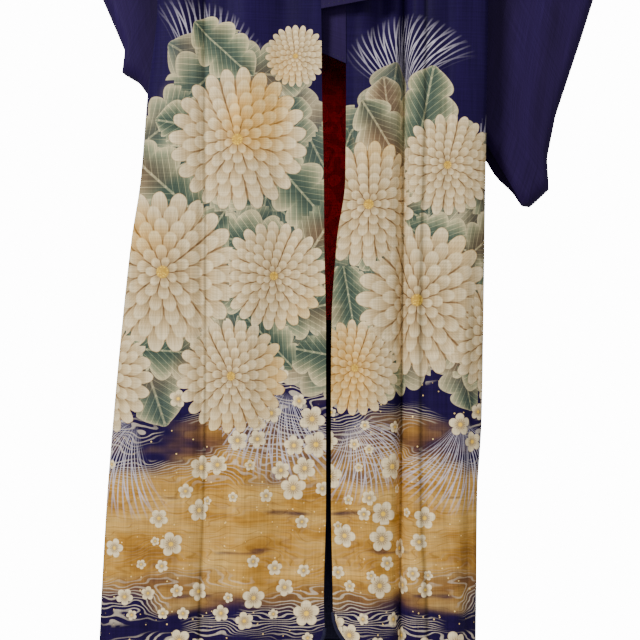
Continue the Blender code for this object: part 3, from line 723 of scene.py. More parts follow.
# %% Nets of the sleeves
def turned_back(run, start, angle, way):
    """A row that runs straight, turns back behind itself and runs on: along and behind."""
    bend = np.clip((run - start) / TURN_BACK, 0.0, angle)
    rest = np.maximum(0.0, run - start - TURN_BACK * angle)
    radius = TURN_BACK - way
    along = np.minimum(run, start) + radius * np.sin(bend) + rest * math.cos(angle)
    behind = TURN_BACK + (way - TURN_BACK) * np.cos(bend) + rest * math.sin(angle)
    return along, behind


def sleeve_nets(side):
    sign, mid = (1.0 if side == "left" else -1.0), SLEEVE_MID[side]
    edge = sleeve_inner_edge(side)
    steps = run_length(edge[:, :2])
    nets, panels = ([], []), ([], [])
    for (x_in, z_in, y_front, y_back), step in zip(edge, steps):
        down = step / steps[-1]
        x_out, z_out = along_points(SLEEVE_OUTER[side], down)
        width = math.dist((x_in, z_in), (x_out, z_out))
        angle = math.pi * rise(down, *BEND_SETS_IN)
        behind = TURNED_BACK * width * rise(down, *PART_BEHIND_SETS_IN)
        start = max(LEAST_IN_FRONT * width, width - TURN_BACK * math.sin(
            min(angle, math.pi / 2)) - behind * max(0.0, math.cos(angle)))
        behind = min(behind, start * MOST_BEHIND)
        bend_end = start + TURN_BACK * angle
        run = SLEEVE_ACROSS * (bend_end + behind)
        foot = round_off(steps[-1] - step, FOLD_RADIUS)
        end = round_off(step, FOLD_RADIUS) * foot
        closed = 1.0 - rise(down, *CUFF_ENDS) * (1.0 - round_off(run[-1] - run, FOLD_RADIUS))
        away = rise(run, 0.0, LEAVES_BODY * start)
        lean = FOLDS_LEAN * (down - 0.5)
        fold = sum(deep * np.exp(-((run / width - place - lean) * width / reach) ** 2)
                   for place, deep, reach in SLEEVE_FOLDS[side])
        fold = fold * away * end * math.sin(math.pi * min(1.0, down * 1.15)) ** 0.5
        fold = fold * (1.0 - rise(run, start, FOLDS_END))
        middle = mid * (end if step < FOLD_RADIUS else 1.0) + fold
        drop = BACK_DROP[side] * rise(down, *DROP_SETS_IN)
        drop = drop * rise(run, bend_end, DROP_RUN * width)
        for wall, (near, way) in enumerate(((y_front, -1.0), (y_back, 1.0))):
            if step > FOLD_RADIUS:
                near = mid + (near - mid) * foot
            along, back = turned_back(run, start, angle, way * SLEEVE_HALF * end * closed)
            x = x_in + (x_out - x_in) * along / width
            z = z_in + (z_out - z_in) * along / width - drop
            y = near * (1 - away) + (middle + back) * away
            nets[wall].append(np.column_stack([sign * x, y, z]))
            panels[wall].append(np.column_stack([run, np.full_like(x, step)]))
    front, back = (np.array(net) for net in nets)
    # Both walls run down the sleeve; the back one is turned round, so it faces outwards
    return [(front[::-1], np.array(panels[0])[::-1]), (back, np.array(panels[1]))]


SLEEVES = {side: sleeve_nets(side) for side in ("right", "left")}
print("sleeve net:", SLEEVES["left"][0][0].shape)

# %% [markdown]
# The linings hang inside the back: crimson figured silk above, plain navy silk at the
# hem, where it also shows as a thin padded roll below the outer cloth. Each lining is the
# back's own net, thinned out and moved inwards.

# %% Linings
LINING_GAP = 0.0021
LINING_WALL = 0.0009
LINING_HALF = {"right": 0.150, "left": 0.134}    # the lining's reach from the centre back


def net_normals(net):
    across = np.gradient(net, axis=1)
    up = np.gradient(net, axis=0)
    normal = np.cross(across, up)
    return normal / np.maximum(np.linalg.norm(normal, axis=2), 1e-9)[..., None]


def lining_net(low, high):
    rows = np.where((HEIGHTS >= low) & (HEIGHTS <= high))[0]
    halves = []
    for side in ("left", "right"):
        net, panel = BODIES[side][1]
        keep = np.abs(net[rows[0], :, 0]) <= LINING_HALF[side]
        halves.append((net[rows][:, keep], panel[rows][:, keep]))
    net = np.concatenate([halves[0][0][:, :-1], halves[1][0][:, ::-1]], axis=1)
    panel = np.concatenate([halves[0][1][:, :-1], halves[1][1][:, ::-1]], axis=1)
    panel = panel.copy()
    panel[..., 0] = net[..., 0]
    inward = WALL / 2 + LINING_GAP + LINING_WALL / 2
    return net - net_normals(net) * inward, panel


UPPER_LINING = lining_net(LINING_TOP + 0.002, 1.45)
LOWER_LINING = lining_net(0.004, LINING_TOP - 0.002)
print("lining nets:", UPPER_LINING[0].shape, LOWER_LINING[0].shape)

# %% [markdown]
# ## Where the dyed design lies
#
# The hem design is drawn freehand on the cloth before it is sewn, so it crosses the seams
# and runs right round the hem. This one is a generic autumn garden: large ivory
# chrysanthemums, lobed leaves in layers, fans of pampas grass, small plum blossoms, gold
# mist and stream lines. Each motif has a centre, a size and a turn on the cloth, and the
# faces near it get coordinates of their own, so the shader can draw it with sharp edges.

# %% Centres, sizes and turns of the motifs
# Each is: metres from the front edge, metres above the hem, radius, turn in degrees
BLOOMS = {
    "right": [(0.105, 0.640, 0.092, 10), (0.060, 0.470, 0.070, 50), (0.205, 0.475, 0.104, 80),
              (0.115, 0.345, 0.074, 0), (0.295, 0.345, 0.080, 33), (0.440, 0.330, 0.085, 5),
              (0.600, 0.300, 0.095, 70), (0.030, 0.745, 0.040, 20)],
    "left": [(0.060, 0.560, 0.082, 30), (0.180, 0.610, 0.066, 15), (0.145, 0.440, 0.100, 62),
             (0.045, 0.355, 0.062, 8), (0.255, 0.395, 0.076, 40), (0.420, 0.360, 0.080, 12),
             (0.560, 0.290, 0.090, 55), (0.300, 0.530, 0.052, 75)],
}
GRASSES = {
    "right": [(0.175, 0.700, 0.120, 112), (0.040, 0.330, 0.125, 262), (0.300, 0.560, 0.125, 150),
              (0.235, 0.290, 0.130, 290), (0.365, 0.430, 0.095, 95), (0.485, 0.400, 0.100, 80),
              (0.625, 0.415, 0.090, 110)],
    "left": [(0.120, 0.690, 0.115, 75), (0.035, 0.290, 0.110, 275), (0.250, 0.560, 0.120, 60),
             (0.200, 0.290, 0.125, 250), (0.360, 0.440, 0.095, 100), (0.480, 0.400, 0.100, 70),
             (0.620, 0.405, 0.090, 95)],
}
# Upper outline of the design, as metres from the front edge and above the hem
DESIGN_TOP = {
    "right": [(0.00, 0.700), (0.06, 0.775), (0.13, 0.790), (0.20, 0.735), (0.27, 0.610),
              (0.34, 0.540), (0.45, 0.440), (0.69, 0.400)],
    "left": [(0.00, 0.640), (0.05, 0.715), (0.12, 0.730), (0.19, 0.690), (0.26, 0.590),
             (0.34, 0.520), (0.45, 0.430), (0.69, 0.400)],
}
DESIGN_FOOT = 0.370       # below this the leaves give way to mist and water
LEAF_STEP = 0.068         # distance between leaves of one layer
LEAF_SIZE = (0.050, 0.074)
BLOSSOM_STEP = 0.036
BLOSSOM_SIZE = (0.006, 0.018)
MOTIF_REACH = 1.02        # a face belongs to a motif up to this many radii away,
MOTIF_MARGIN = 0.004      # counted with this margin
FAR = 10.0                # coordinate given to faces that no motif covers
print("motifs placed by hand:", sum(len(BLOOMS[side] + GRASSES[side]) for side in BLOOMS))

# %% [markdown]
# Leaves and small blossoms are many, so they are strewn on an uneven net of places. The
# random numbers start from a fixed seed, so the design is the same each time.

# %% Strewn leaves and blossoms
def design_top(side, s):
    places = np.array(DESIGN_TOP[side])
    return np.interp(s, places[:, 0], places[:, 1])


def scatter(seed, step, low, high, size, side):
    """Motifs on an uneven net of places between two heights, with sizes and turns."""
    random = np.random.default_rng(seed)
    found = []
    for row, h in enumerate(np.arange(low, 0.85, step * 0.86)):
        for s in np.arange(0.0, BACK_HALF_CLOTH + step, step) + (row % 2) * step / 2:
            s_at = s + random.uniform(-0.28, 0.28) * step
            h_at = h + random.uniform(-0.28, 0.28) * step
            radius = random.uniform(*size)
            turn = random.uniform(0.0, 360.0)
            if h_at < high(side, s_at):
                found.append((s_at, h_at, radius, turn))
    return found


def leaf_top(side, s):
    return design_top(side, s) - 0.03


def blossom_top(side, s):
    return 0.345 + 0.02 * math.sin(14.0 * s + (2.0 if side == "left" else 0.0))


def in_clusters(motifs, seed):
    """Keeps the motifs of some stretches only, so that they lie in loose groups."""
    return [row for row in motifs
            if noise.noise(Vector((row[0] * 9.0, row[1] * 13.0, seed))) > -0.02]


LEAF_LAYERS = {"leaf_a": (LEAF_STEP * 1.25, 0.0), "leaf_b": (LEAF_STEP, -0.01),
               "leaf_c": (LEAF_STEP, 0.02)}    # step, and foot above the design's foot
LAYOUT = {}
for number, side in enumerate(("right", "left")):
    LAYOUT[side] = {
        "bloom": BLOOMS[side],
        **{layer: scatter(11 + 10 * place + number, step, DESIGN_FOOT + foot, leaf_top,
                          LEAF_SIZE, side)
           for place, (layer, (step, foot)) in enumerate(LEAF_LAYERS.items())},
        "grass": GRASSES[side],
        "blossom": in_clusters(scatter(41 + number, BLOSSOM_STEP, 0.012, blossom_top,
                                       BLOSSOM_SIZE, side), 3.7 + number),
    }
    print(side, {layer: len(rows) for layer, rows in LAYOUT[side].items()})

# %% [markdown]
# A motif's shader needs to know where a point lies within the motif. Each layer therefore
# gets a UV map of its own, in which a motif's centre is at zero and its rim at one. One
# more map, "reach", tells how far a point lies below the design's upper outline.

# %% Maps of the design
def add_design_maps(thing, side):
    """Each layer of motifs gets a UV map, with each face in its nearest motif's own place."""
    mesh = thing.data
    corners = np.zeros(len(mesh.loops) * 2)
    mesh.uv_layers["panel"].data.foreach_get("uv", corners)
    corners = corners.reshape(-1, 2)
    starts, totals = np.zeros((2, len(mesh.polygons)), int)
    mesh.polygons.foreach_get("loop_start", starts)
    mesh.polygons.foreach_get("loop_total", totals)
    middle = np.add.reduceat(corners, starts) / totals[:, None]
    face_of = np.repeat(np.arange(len(totals)), totals)
    for layer, motifs in LAYOUT[side].items():
        motifs = np.array(motifs)
        nearest = np.full(len(middle), -1)
        best = np.full(len(middle), MOTIF_REACH)
        for number, (s, h, radius, _) in enumerate(motifs):
            away = np.hypot(middle[:, 0] - s, middle[:, 1] - h) / (radius + MOTIF_MARGIN)
            closer = away < best
            nearest[closer], best[closer] = number, away[closer]
        own = nearest[face_of]
        s, h, radius, turn = motifs[own].T
        turn = np.radians(turn)
        x, y = (corners[:, 0] - s) / radius, (corners[:, 1] - h) / radius
        local = np.column_stack([x * np.cos(turn) + y * np.sin(turn),
                                 y * np.cos(turn) - x * np.sin(turn)])
        local[own < 0] = FAR
        mesh.uv_layers.new(name=layer).data.foreach_set("uv", local.ravel())
    inside = design_top(side, corners[:, 0]) - corners[:, 1]
    values = np.column_stack([inside, np.zeros(len(inside))])
    mesh.uv_layers.new(name="reach").data.foreach_set("uv", values.ravel())


print("layers of motifs:", list(LAYOUT["right"]))

# %% [markdown]
# ## Helpers for finishes
#
# Every finish here is a small network of maths nodes. A node's output is wrapped so that
# plain arithmetic works on it: `away * 2.0` adds a Multiply node and gives its output.

# %% Arithmetic with nodes
class Output:
    """A node's output. Each sign of arithmetic on it adds a Math node."""

    def __init__(self, socket):
        self.socket, self.tree = socket, socket.id_data

    def __add__(self, other):
        return calc("ADD", self, other)

    def __radd__(self, other):
        return calc("ADD", other, self)

    def __sub__(self, other):
        return calc("SUBTRACT", self, other)

    def __rsub__(self, other):
        return calc("SUBTRACT", other, self)

    def __mul__(self, other):
        return calc("MULTIPLY", self, other)

    def __truediv__(self, other):
        return calc("DIVIDE", self, other)

    def __pow__(self, other):
        return calc("POWER", self, other)

    def __abs__(self):
        return calc("ABSOLUTE", self)


def fill(socket, value):
    if isinstance(value, Output):
        value.tree.links.new(value.socket, socket)
    else:
        socket.default_value = value


def fill_all(sockets, values):
    for key, value in values.items():
        fill(sockets[key], value)


def node(tree, kind, *inputs, sockets=None, **settings):
    """Adds a node, sets it up, fills its sockets and gives back its outputs."""
    made = tree.nodes.new(kind)
    for name, value in settings.items():
        setattr(made, name, value)
    fill_all(made.inputs, {**dict(enumerate(inputs)), **(sockets or {})})
    return [Output(socket) for socket in made.outputs]


print("nodes can be added up")

# %% [markdown]
# These helpers do what nearly every network needs: a maths function, a range mapped to
# another, two colours mixed, a colour ramp, noise, and the coordinates to start from.

# %% Node helpers
def tree_of(*values):
    return next(value.tree for value in values if isinstance(value, Output))


def calc(operation, *values):
    return node(tree_of(*values), "ShaderNodeMath", *values, operation=operation)[0]


def span(value, low, high, first=0.0, last=1.0, smooth=False):
    """Maps low..high to first..last and stops there."""
    return node(value.tree, "ShaderNodeMapRange", value, low, high, first, last, clamp=True,
                interpolation_type="SMOOTHSTEP" if smooth else "LINEAR")[0]


def mixed(share, first, second, blend="MIX"):
    return node(tree_of(share, first, second), "ShaderNodeMix", data_type="RGBA",
                blend_type=blend, sockets={0: share, 6: first, 7: second})[2]


def ramp(value, places, colours):
    made = value.tree.nodes.new("ShaderNodeValToRGB")
    fill(made.inputs[0], value)
    while len(made.color_ramp.elements) < len(places):
        made.color_ramp.elements.new(0.5)
    for element, place, colour in zip(made.color_ramp.elements, places, colours):
        element.position = place
        element.color = (*colour, 1.0)
    return Output(made.outputs[0])


def grain(place, scale, detail=2.0, rough=0.5, stretch=(1.0, 1.0, 1.0)):
    """Noise on a stretched place: a value of about 0.5, give or take."""
    moved = node(place.tree, "ShaderNodeMapping", place, sockets={"Scale": stretch})[0]
    return node(place.tree, "ShaderNodeTexNoise", moved,
                sockets={"Scale": scale, "Detail": detail, "Roughness": rough})[0]


def map_of(tree, layer):
    return node(tree, "ShaderNodeUVMap", uv_map=layer)[0]


def on_object(tree):
    return Output(tree.nodes.new("ShaderNodeTexCoord").outputs["Object"])


def apart(place):
    return node(place.tree, "ShaderNodeSeparateXYZ", place)


def polar(place):
    """Distance from the motif's centre and the angle round it."""
    x, y, _ = apart(place)
    return calc("SQRT", x * x + y * y), calc("ARCTAN2", y, x)


print("node helpers are ready")

# %% [markdown]
# A motif is used in more than one place, so its nodes are kept in a group. A finish is a
# material with its Principled shader, whose sockets are filled at the end.

# %% Groups and finishes
def new_group(name, inputs, outputs):
    """An empty group of nodes: the group, its inputs, and the sockets of its results."""
    group = bpy.data.node_groups.new(name, "ShaderNodeTree")
    for way, sockets in (("INPUT", inputs), ("OUTPUT", outputs)):
        for label, kind in sockets.items():
            group.interface.new_socket(label, in_out=way, socket_type="NodeSocket" + kind)
    return group, node(group, "NodeGroupInput"), group.nodes.new("NodeGroupOutput").inputs


def use_group(group, *inputs):
    return node(inputs[0].tree, "ShaderNodeGroup", *inputs, node_tree=group)


def new_finish(name):
    material = bpy.data.materials.new(name)
    material.use_nodes = True
    tree = material.node_tree
    return material, tree, tree.nodes["Principled BSDF"].inputs


def bumped(height, strength):
    return node(height.tree, "ShaderNodeBump", sockets={
        "Strength": strength, "Distance": 0.0003, "Height": height})[0]


PLACE, HUE = {"Place": "Vector"}, {"Hue": "Float"}
COVER, COLOUR_AND_COVER = {"Cover": "Float"}, {"Colour": "Color", "Cover": "Float"}
print("groups take", PLACE, "and", HUE)

# %% [markdown]
# ## The motifs
#
# A chrysanthemum is rings of petals round one centre, the outermost ring lying lowest.
# Each ring folds the angle into petals and rounds their tips; a petal is pale at its tip,
# warm and dark at its root, and has a fine line along each border and a few along its
# length, like brushwork on silk.

# %% Chrysanthemum
PETAL_RINGS = [  # outer radius, inner radius, petals, turn of the ring
    (0.98, 0.58, 23, 0.0), (0.82, 0.46, 21, 0.4), (0.66, 0.34, 17, 0.1),
    (0.50, 0.22, 14, 0.6), (0.34, 0.12, 10, 0.3), (0.20, 0.04, 7, 0.0),
]
FLOWER_STOPS = (0.00, 0.28, 0.60, 0.95)
IVORY = ((0.045, 0.022, 0.010), (0.190, 0.108, 0.046), (0.470, 0.335, 0.165),
         (0.740, 0.610, 0.370))
AMBER = ((0.060, 0.024, 0.006), (0.260, 0.125, 0.026), (0.520, 0.300, 0.085),
         (0.720, 0.520, 0.230))
POLLEN, POLLEN_LIGHT = (0.30, 0.14, 0.02, 1.0), (0.80, 0.52, 0.08, 1.0)
POSITIVE = 50.0           # keeps an angle above zero, so that its fraction runs one way


def petal_ring(away, angle, wobble, ring, below):
    """Lays one ring of petals over the tone of the rings below it."""
    outer, inner, count, shift = ring
    across = abs(calc("FRACT", angle * (count / math.tau) + shift + POSITIVE) - 0.5)
    border = across * 2.0
    reach = outer - border ** 2.4 * ((outer - inner) * 0.42) + wobble
    cover = span(reach - away, 0.0, 0.016)
    along = span(away, inner, outer, 0.30, 0.98)
    edge = span(border, 0.80, 0.98, 0.0, 0.34)
    rim = span(reach - away, 0.0, 0.035, 0.22, 0.0)
    vein = span(calc("SINE", across * 46.0), 0.55, 1.0, 0.0, 0.10)
    tone = along - (edge + rim + vein)
    return below + (tone - below) * cover, cover


flower, (place, hue, _), result = new_group("chrysanthemum", {**PLACE, **HUE}, COLOUR_AND_COVER)
away, angle = polar(place)
wobble = (grain(place, 3.0) - 0.5) * 0.10
tone, covers = 0.0, []
for ring in PETAL_RINGS:
    tone, cover = petal_ring(away, angle, wobble, ring, tone)
    covers.append(cover)
colour = mixed(span(hue, 0.52, 0.60), ramp(tone, FLOWER_STOPS, IVORY),
               ramp(tone, FLOWER_STOPS, AMBER))
dots = node(flower, "ShaderNodeTexVoronoi", place, sockets={"Scale": 38.0})[0]
pollen = mixed(span(dots, 0.15, 0.55, 1.0, 0.35), POLLEN, POLLEN_LIGHT)
fill(result[0], mixed(span(away, 0.085, 0.065), colour, pollen))
fill(result[1], covers[0])
print("chrysanthemum:", len(flower.nodes), "nodes")

# %% [markdown]
# A leaf lies along its own first axis. Its half width is a rounded spindle whose margin
# is cut into lobes. Ink runs from deep blue-green at the middle vein out to ivory at the
# margin, with thin side veins, and each stretch of the cloth leans more to green or taupe.

# %% Leaf
LEAF_STOPS = (0.00, 0.30, 0.62, 0.98)
GREEN = ((0.016, 0.030, 0.028), (0.062, 0.088, 0.062), (0.210, 0.225, 0.130),
         (0.560, 0.470, 0.260))
TAUPE = ((0.070, 0.036, 0.020), (0.180, 0.115, 0.062), (0.380, 0.285, 0.150),
         (0.640, 0.520, 0.310))
foliage, (place, hue, _), result = new_group("leaf", {**PLACE, **HUE}, COLOUR_AND_COVER)
along, aside, _ = apart(place)
spindle = calc("MAXIMUM", 1.0 - along * along, 0.0) ** 0.62
lobes = 0.66 + abs(calc("SINE", along * 6.6)) ** 0.6 * 0.34
half = spindle * lobes * 0.66
side_of = abs(aside)
margin = half - side_of
slant = calc("FRACT", along * 6.0 - side_of * 7.0 + POSITIVE)
veins = span(abs(slant - 0.5), 0.04, 0.10, 0.24, 0.0)
fine = span(calc("SINE", (along - side_of * 1.15) * 150.0), 0.2, 1.0, 0.0, 0.13)
mid_vein = span(side_of, 0.012, 0.03, 0.45, 0.0)
shade = (side_of / calc("MAXIMUM", half, 0.02)) ** 1.5 * 0.78 + 0.12
shade = shade + veins + fine + mid_vein + span(margin, 0.0, 0.03, 0.20, 0.0)
fill(result[0], mixed(span(hue, 0.50, 0.66), ramp(shade, LEAF_STOPS, GREEN),
                      ramp(shade, LEAF_STOPS, TAUPE)))
fill(result[1], span(margin, 0.0, 0.018))
print("leaf:", len(foliage.nodes), "nodes")

# %% [markdown]
# Plum blossoms have five round petals and a gold heart with thin stamens. A fan of pampas
# grass is only lines: they leave one point, spread and fade before the fan's edge.

# %% Blossom and grass
BLOSSOM_GOLD = (0.82, 0.50, 0.06, 1.0)
blossom, (place, _), result = new_group("blossom", PLACE, COLOUR_AND_COVER)
away, angle = polar(place)
inside = 0.56 + abs(calc("COSINE", angle * 2.5)) ** 0.55 * 0.42 - away
shade = span(away, 0.05, 0.75, 0.45, 1.0) + span(inside, 0.0, 0.12, -0.30, 0.0)
stamens = span(calc("SINE", angle * 15.0), 0.6, 0.9) * span(away, 0.50, 0.42)
colour = ramp(shade - stamens * 0.4, FLOWER_STOPS, IVORY)
fill(result[0], mixed(span(away, 0.20, 0.14), colour, BLOSSOM_GOLD))
fill(result[1], span(inside, 0.0, 0.06))

pampas, (place, _), result = new_group("pampas grass", PLACE, COVER)
away, angle = polar(place)
bend = angle + away * 0.35
strands = span(calc("SINE", bend * 82.0), 0.50, 0.85)
second = span(calc("SINE", bend * 31.0 + away * 9.0), 0.88, 0.98)
fade = span(away, 0.98, 0.70) * span(away, 0.05, 0.16)
spread = span(abs(bend - 0.6), 1.05, 0.75)
fill(result[0], calc("MAXIMUM", strands, second) * fade * spread)
print("blossom:", len(blossom.nodes), "nodes, grass:", len(pampas.nodes), "nodes")

# %% [markdown]
# ## The silk itself
#
# The ground is deep violet crepe. Below the leaves it is brushed with ochre gold mist that
# has soft, wandering borders, and fine stream lines run along the hem. All of it is
# painted in one network on the "panel" coordinates. The weave shows as slubs: threads
# that are a little lighter or darker, across and along the cloth.

# %% Ground of the painted silk
VIOLET_DEEP = (0.0062, 0.0024, 0.0240, 1.0)
VIOLET_LIGHT = (0.0118, 0.0050, 0.0450, 1.0)
VIOLET_PALER = (0.0800, 0.0480, 0.1000, 1.0)    # mixed into the plain silk of the sleeves and collar: paler and redder
PALER_SHARE = 0.08
HAZE = (0.3000, 0.2500, 0.1850, 1.0)
OCHRE = (0.3700, 0.1800, 0.0270, 1.0)
OCHRE_PALE = (0.5400, 0.3300, 0.0900, 1.0)
OCHRE_DARK = (0.1900, 0.0800, 0.0120, 1.0)
LINE_INK = (0.5800, 0.4900, 0.3700, 1.0)
LEAF_GOLD = (0.8500, 0.6000, 0.2200, 1.0)
SLUB = 0.600              # how much single threads differ in tone
print("violet, red to blue:", VIOLET_DEEP[:3], "to", VIOLET_LIGHT[:3])


def slubs(place):
    along = grain(place, 1.0, 1.0, 0.5, (460.0, 14.0, 1.0))
    across = grain(place, 1.0, 1.0, 0.5, (14.0, 460.0, 1.0))
    return 1.0 + (along + across - 1.0) * SLUB


def violet(place):
    cloudy = grain(place, 5.0, 3.0, 0.55, (3.0, 0.6, 1.0))
    return mixed(span(cloudy, 0.3, 0.7), VIOLET_DEEP, VIOLET_LIGHT)


def painted_ground(place, reach):
    height = apart(place)[1]
    cloud = grain(place, 6.0, 3.0, 0.55, (1.0, 2.2, 1.0)) - 0.5
    streak = grain(place, 9.0, 2.0, 0.5, (1.0, 5.0, 1.0))
    washed = (span(reach, 0.01, 0.11, 0.0, 0.85, True)
              * span(height + cloud * 0.22, 0.37, 0.47) * span(streak, 0.30, 0.62))
    colour = mixed(washed, violet(place), HAZE)
    # Gold mist between two soft borders, torn by streaks of violet
    misty = (span(height + cloud * 0.16, 0.045, 0.100, 0.0, 1.0, True)
             * span(height + cloud * 0.30, 0.290, 0.205, 0.0, 1.0, True)
             * span(streak, 0.60, 0.72, 1.0, 0.25, True))
    shades = grain(place, 11.0, 3.0, 0.6, (1.0, 2.6, 1.0))
    gold = mixed(span(shades, 0.42, 0.66), OCHRE, OCHRE_PALE)
    gold = mixed(span(shades, 0.44, 0.30, 0.0, 0.7), gold, OCHRE_DARK)
    fine = calc("SINE", height * 430.0 + cloud * 95.0)
    gold = mixed(span(fine, 0.86, 0.99, 0.0, 0.42), gold, OCHRE_DARK)
    colour = mixed(misty, colour, gold)
    # Stream lines along the hem and over the mist's upper border
    flow = span(calc("SINE", height * 1250.0 + cloud * 150.0), 0.35, 0.80)
    here = calc("MAXIMUM", span(height, 0.110, 0.070, 0.12, 1.0),
                span(height, 0.19, 0.24) * span(height, 0.41, 0.35))
    patch = span(grain(place, 8.0, 1.0, 0.5, (1.0, 3.0, 1.0)), 0.42, 0.52)
    lines = flow * here * span(height, 0.45, 0.40) * patch * 0.62
    colour = mixed(lines, colour, LINE_INK)
    # Leaf gold strewn over the mist
    away, tint = node(place.tree, "ShaderNodeTexVoronoi", place, sockets={"Scale": 150.0})[:2]
    leafed = (span(away, 0.17, 0.14) * span(apart(tint)[0], 0.72, 0.74)
              * span(height, 0.42, 0.30))
    return mixed(leafed, colour, LEAF_GOLD), leafed


print("painted ground is ready")

# %% [markdown]
# Silk is a soft shader with little gloss and a faint sheen. Slubs change its tone, and the
# same threads with a finer crepe grain make its bump. On the painted cloth a soft dark line
# of painted shade runs along each seam, standing in for the shade of the seam's dip.

# %% Silk shader
SEAMS = (0.15, 0.39, 0.69)     # overlap seam, side seam and centre back, on the cloth
SEAM_PAINTED_SHADE = 0.0045            # half width of the painted shade along each seam


# Painted shade: a soft dark band along each seam stands in for the shade in the seam's dip
def painted_seam_shade(place):
    s = apart(place)[0]
    nearest = abs(s - SEAMS[0])
    for seam in SEAMS[1:]:
        nearest = calc("MINIMUM", nearest, abs(s - seam))
    return span(nearest, 0.0003, SEAM_PAINTED_SHADE, 0.52, 1.0, True)


def silk_shader(sockets, colour, place, roughness=0.55, seams=False):
    crepe = grain(on_object(place.tree), 850.0, 2.0, 0.6)
    thread = slubs(place)
    shade = thread * painted_seam_shade(place) if seams else thread
    grey = node(place.tree, "ShaderNodeCombineColor", shade, shade, shade)[0]
    fill_all(sockets, {
        "Base Color": mixed(1.0, colour, grey, "MULTIPLY"),
        "Normal": bumped(crepe + thread, 0.35),
        "Roughness": span(crepe, 0.3, 0.7, roughness - 0.07, roughness + 0.07),
        "Specular IOR Level": 0.05, "Sheen Weight": 0.008, "Sheen Roughness": 0.45})


print("silk helpers are ready")

# %% [markdown]
# Plain silk is the violet ground, a little paler and redder. On the painted silk the layers
# lie over each other in the order a painter lays them: ground, grass, three layers of
# leaves, blossoms and chrysanthemums.

# %% Plain and painted silk
GRASS_INK = (0.50, 0.46, 0.52, 1.0)
LEAF_DULL = (0.060, 0.070, 0.080, 1.0)
LEAF_FINISH = (("leaf_c", 0.36, 7.0), ("leaf_b", 0.16, 8.3), ("leaf_a", 0.0, 9.1))
plain_silk, tree, sockets = new_finish("violet crepe silk")
place = map_of(tree, "panel")
silk_shader(sockets, mixed(PALER_SHARE, violet(place), VIOLET_PALER), place)

painted_silk, tree, sockets = new_finish("painted violet silk")
place = map_of(tree, "panel")
colour, leafed = painted_ground(place, apart(map_of(tree, "reach"))[0])
colour = mixed(use_group(pampas, map_of(tree, "grass"))[0] * 0.80, colour, GRASS_INK)
for layer, dull, patches in LEAF_FINISH:
    leaf, cover = use_group(foliage, map_of(tree, layer), grain(place, patches, 1.0))[:2]
    colour = mixed(cover, colour, mixed(dull, leaf, LEAF_DULL))
for layer, group, hues in (("blossom", blossom, []), ("bloom", flower, [grain(place, 4.2, 1.0)])):
    motif, cover = use_group(group, map_of(tree, layer), *hues)[:2]
    colour = mixed(cover, colour, motif)
silk_shader(sockets, colour, place, 0.60, True)
fill(sockets["Metallic"], leafed * 0.6)
print("painted silk:", len(tree.nodes), "nodes")

# %% [markdown]
# The upper lining is crimson figured silk: its woven figure is a darker crimson than the
# ground. Above the collar's end the crimson is darkened by a painted shade, for the little
# light that gets into the garment. The hem lining is plain navy. The fronts' inner faces
# carry both, divided where the two linings are sewn together.

# %% Lining silks
CRIMSON = (0.950, 0.016, 0.026, 1.0)
CRIMSON_DARK = (0.600, 0.008, 0.016, 1.0)
CRIMSON_PAINTED_SHADE = (0.020, 0.001, 0.002, 1.0)
NAVY = (0.0090, 0.0085, 0.0230, 1.0)
NAVY_LIGHT = (0.0200, 0.0190, 0.0430, 1.0)


def damask(place):
    figure = span(calc("SINE", grain(place, 26.0, 1.5, 0.5) * 34.0), -0.15, 0.20)
    worn = grain(place, 9.0, 3.0, 0.6)
    colour = mixed(figure, CRIMSON, CRIMSON_DARK)
    colour = mixed(span(worn, 0.35, 0.75, 0.0, 0.5), colour, CRIMSON)
    # Painted shade: darker from the collar's end upwards, back to crimson higher up, for the
    # little light inside the garment
    height = apart(place)[1]
    deep = (span(height, 0.685, 0.750, 0.0, 0.75, True)
            * span(height, 0.95, 1.25, 1.0, 0.0, True))
    return mixed(deep, colour, CRIMSON_PAINTED_SHADE)


def navy(place):
    return mixed(grain(place, 12.0, 3.0), NAVY, NAVY_LIGHT)


def navy_and_crimson(place):
    upper = span(apart(place)[1], LINING_TOP - 0.0004, LINING_TOP + 0.0004)
    return mixed(upper, navy(place), damask(place))


def lining_silk(name, colour_of, roughness):
    material, tree, sockets = new_finish(name)
    place = map_of(tree, "panel")
    silk_shader(sockets, colour_of(place), place, roughness)
    return material


crimson_silk = lining_silk("crimson figured silk", damask, 0.48)
navy_silk = lining_silk("navy lining silk", navy, 0.58)
both_linings = lining_silk("crimson and navy lining", navy_and_crimson, 0.52)
print("lining silks:", crimson_silk.name, "and", navy_silk.name)

# %% [markdown]
# The hanger is turned and varnished beech with a bright wire hook. Both keep the shape of
# the workbench model and only get their finish here: long grain lines with pores for the
# wood, and fine drawing marks along the wire.

# %% Hanger finishes
beech, tree, sockets = new_finish("varnished beech")
rings = grain(on_object(tree), 30.0, 4.0, 0.6, (0.12, 1.6, 1.6))
pores = grain(on_object(tree), 420.0, 2.0, 0.6, (0.06, 1.0, 1.0))
wood = ramp(rings, (0.30, 0.52, 0.72),
            ((0.300, 0.150, 0.060), (0.520, 0.310, 0.150), (0.640, 0.430, 0.240)))
fill_all(sockets, {
    "Base Color": mixed(span(pores, 0.58, 0.68, 0.0, 0.5), wood, (0.160, 0.075, 0.030, 1.0)),
    "Normal": bumped(pores, 0.25), "Roughness": span(rings, 0.3, 0.7, 0.34, 0.46),
    "Coat Weight": 0.5, "Coat Roughness": 0.18})

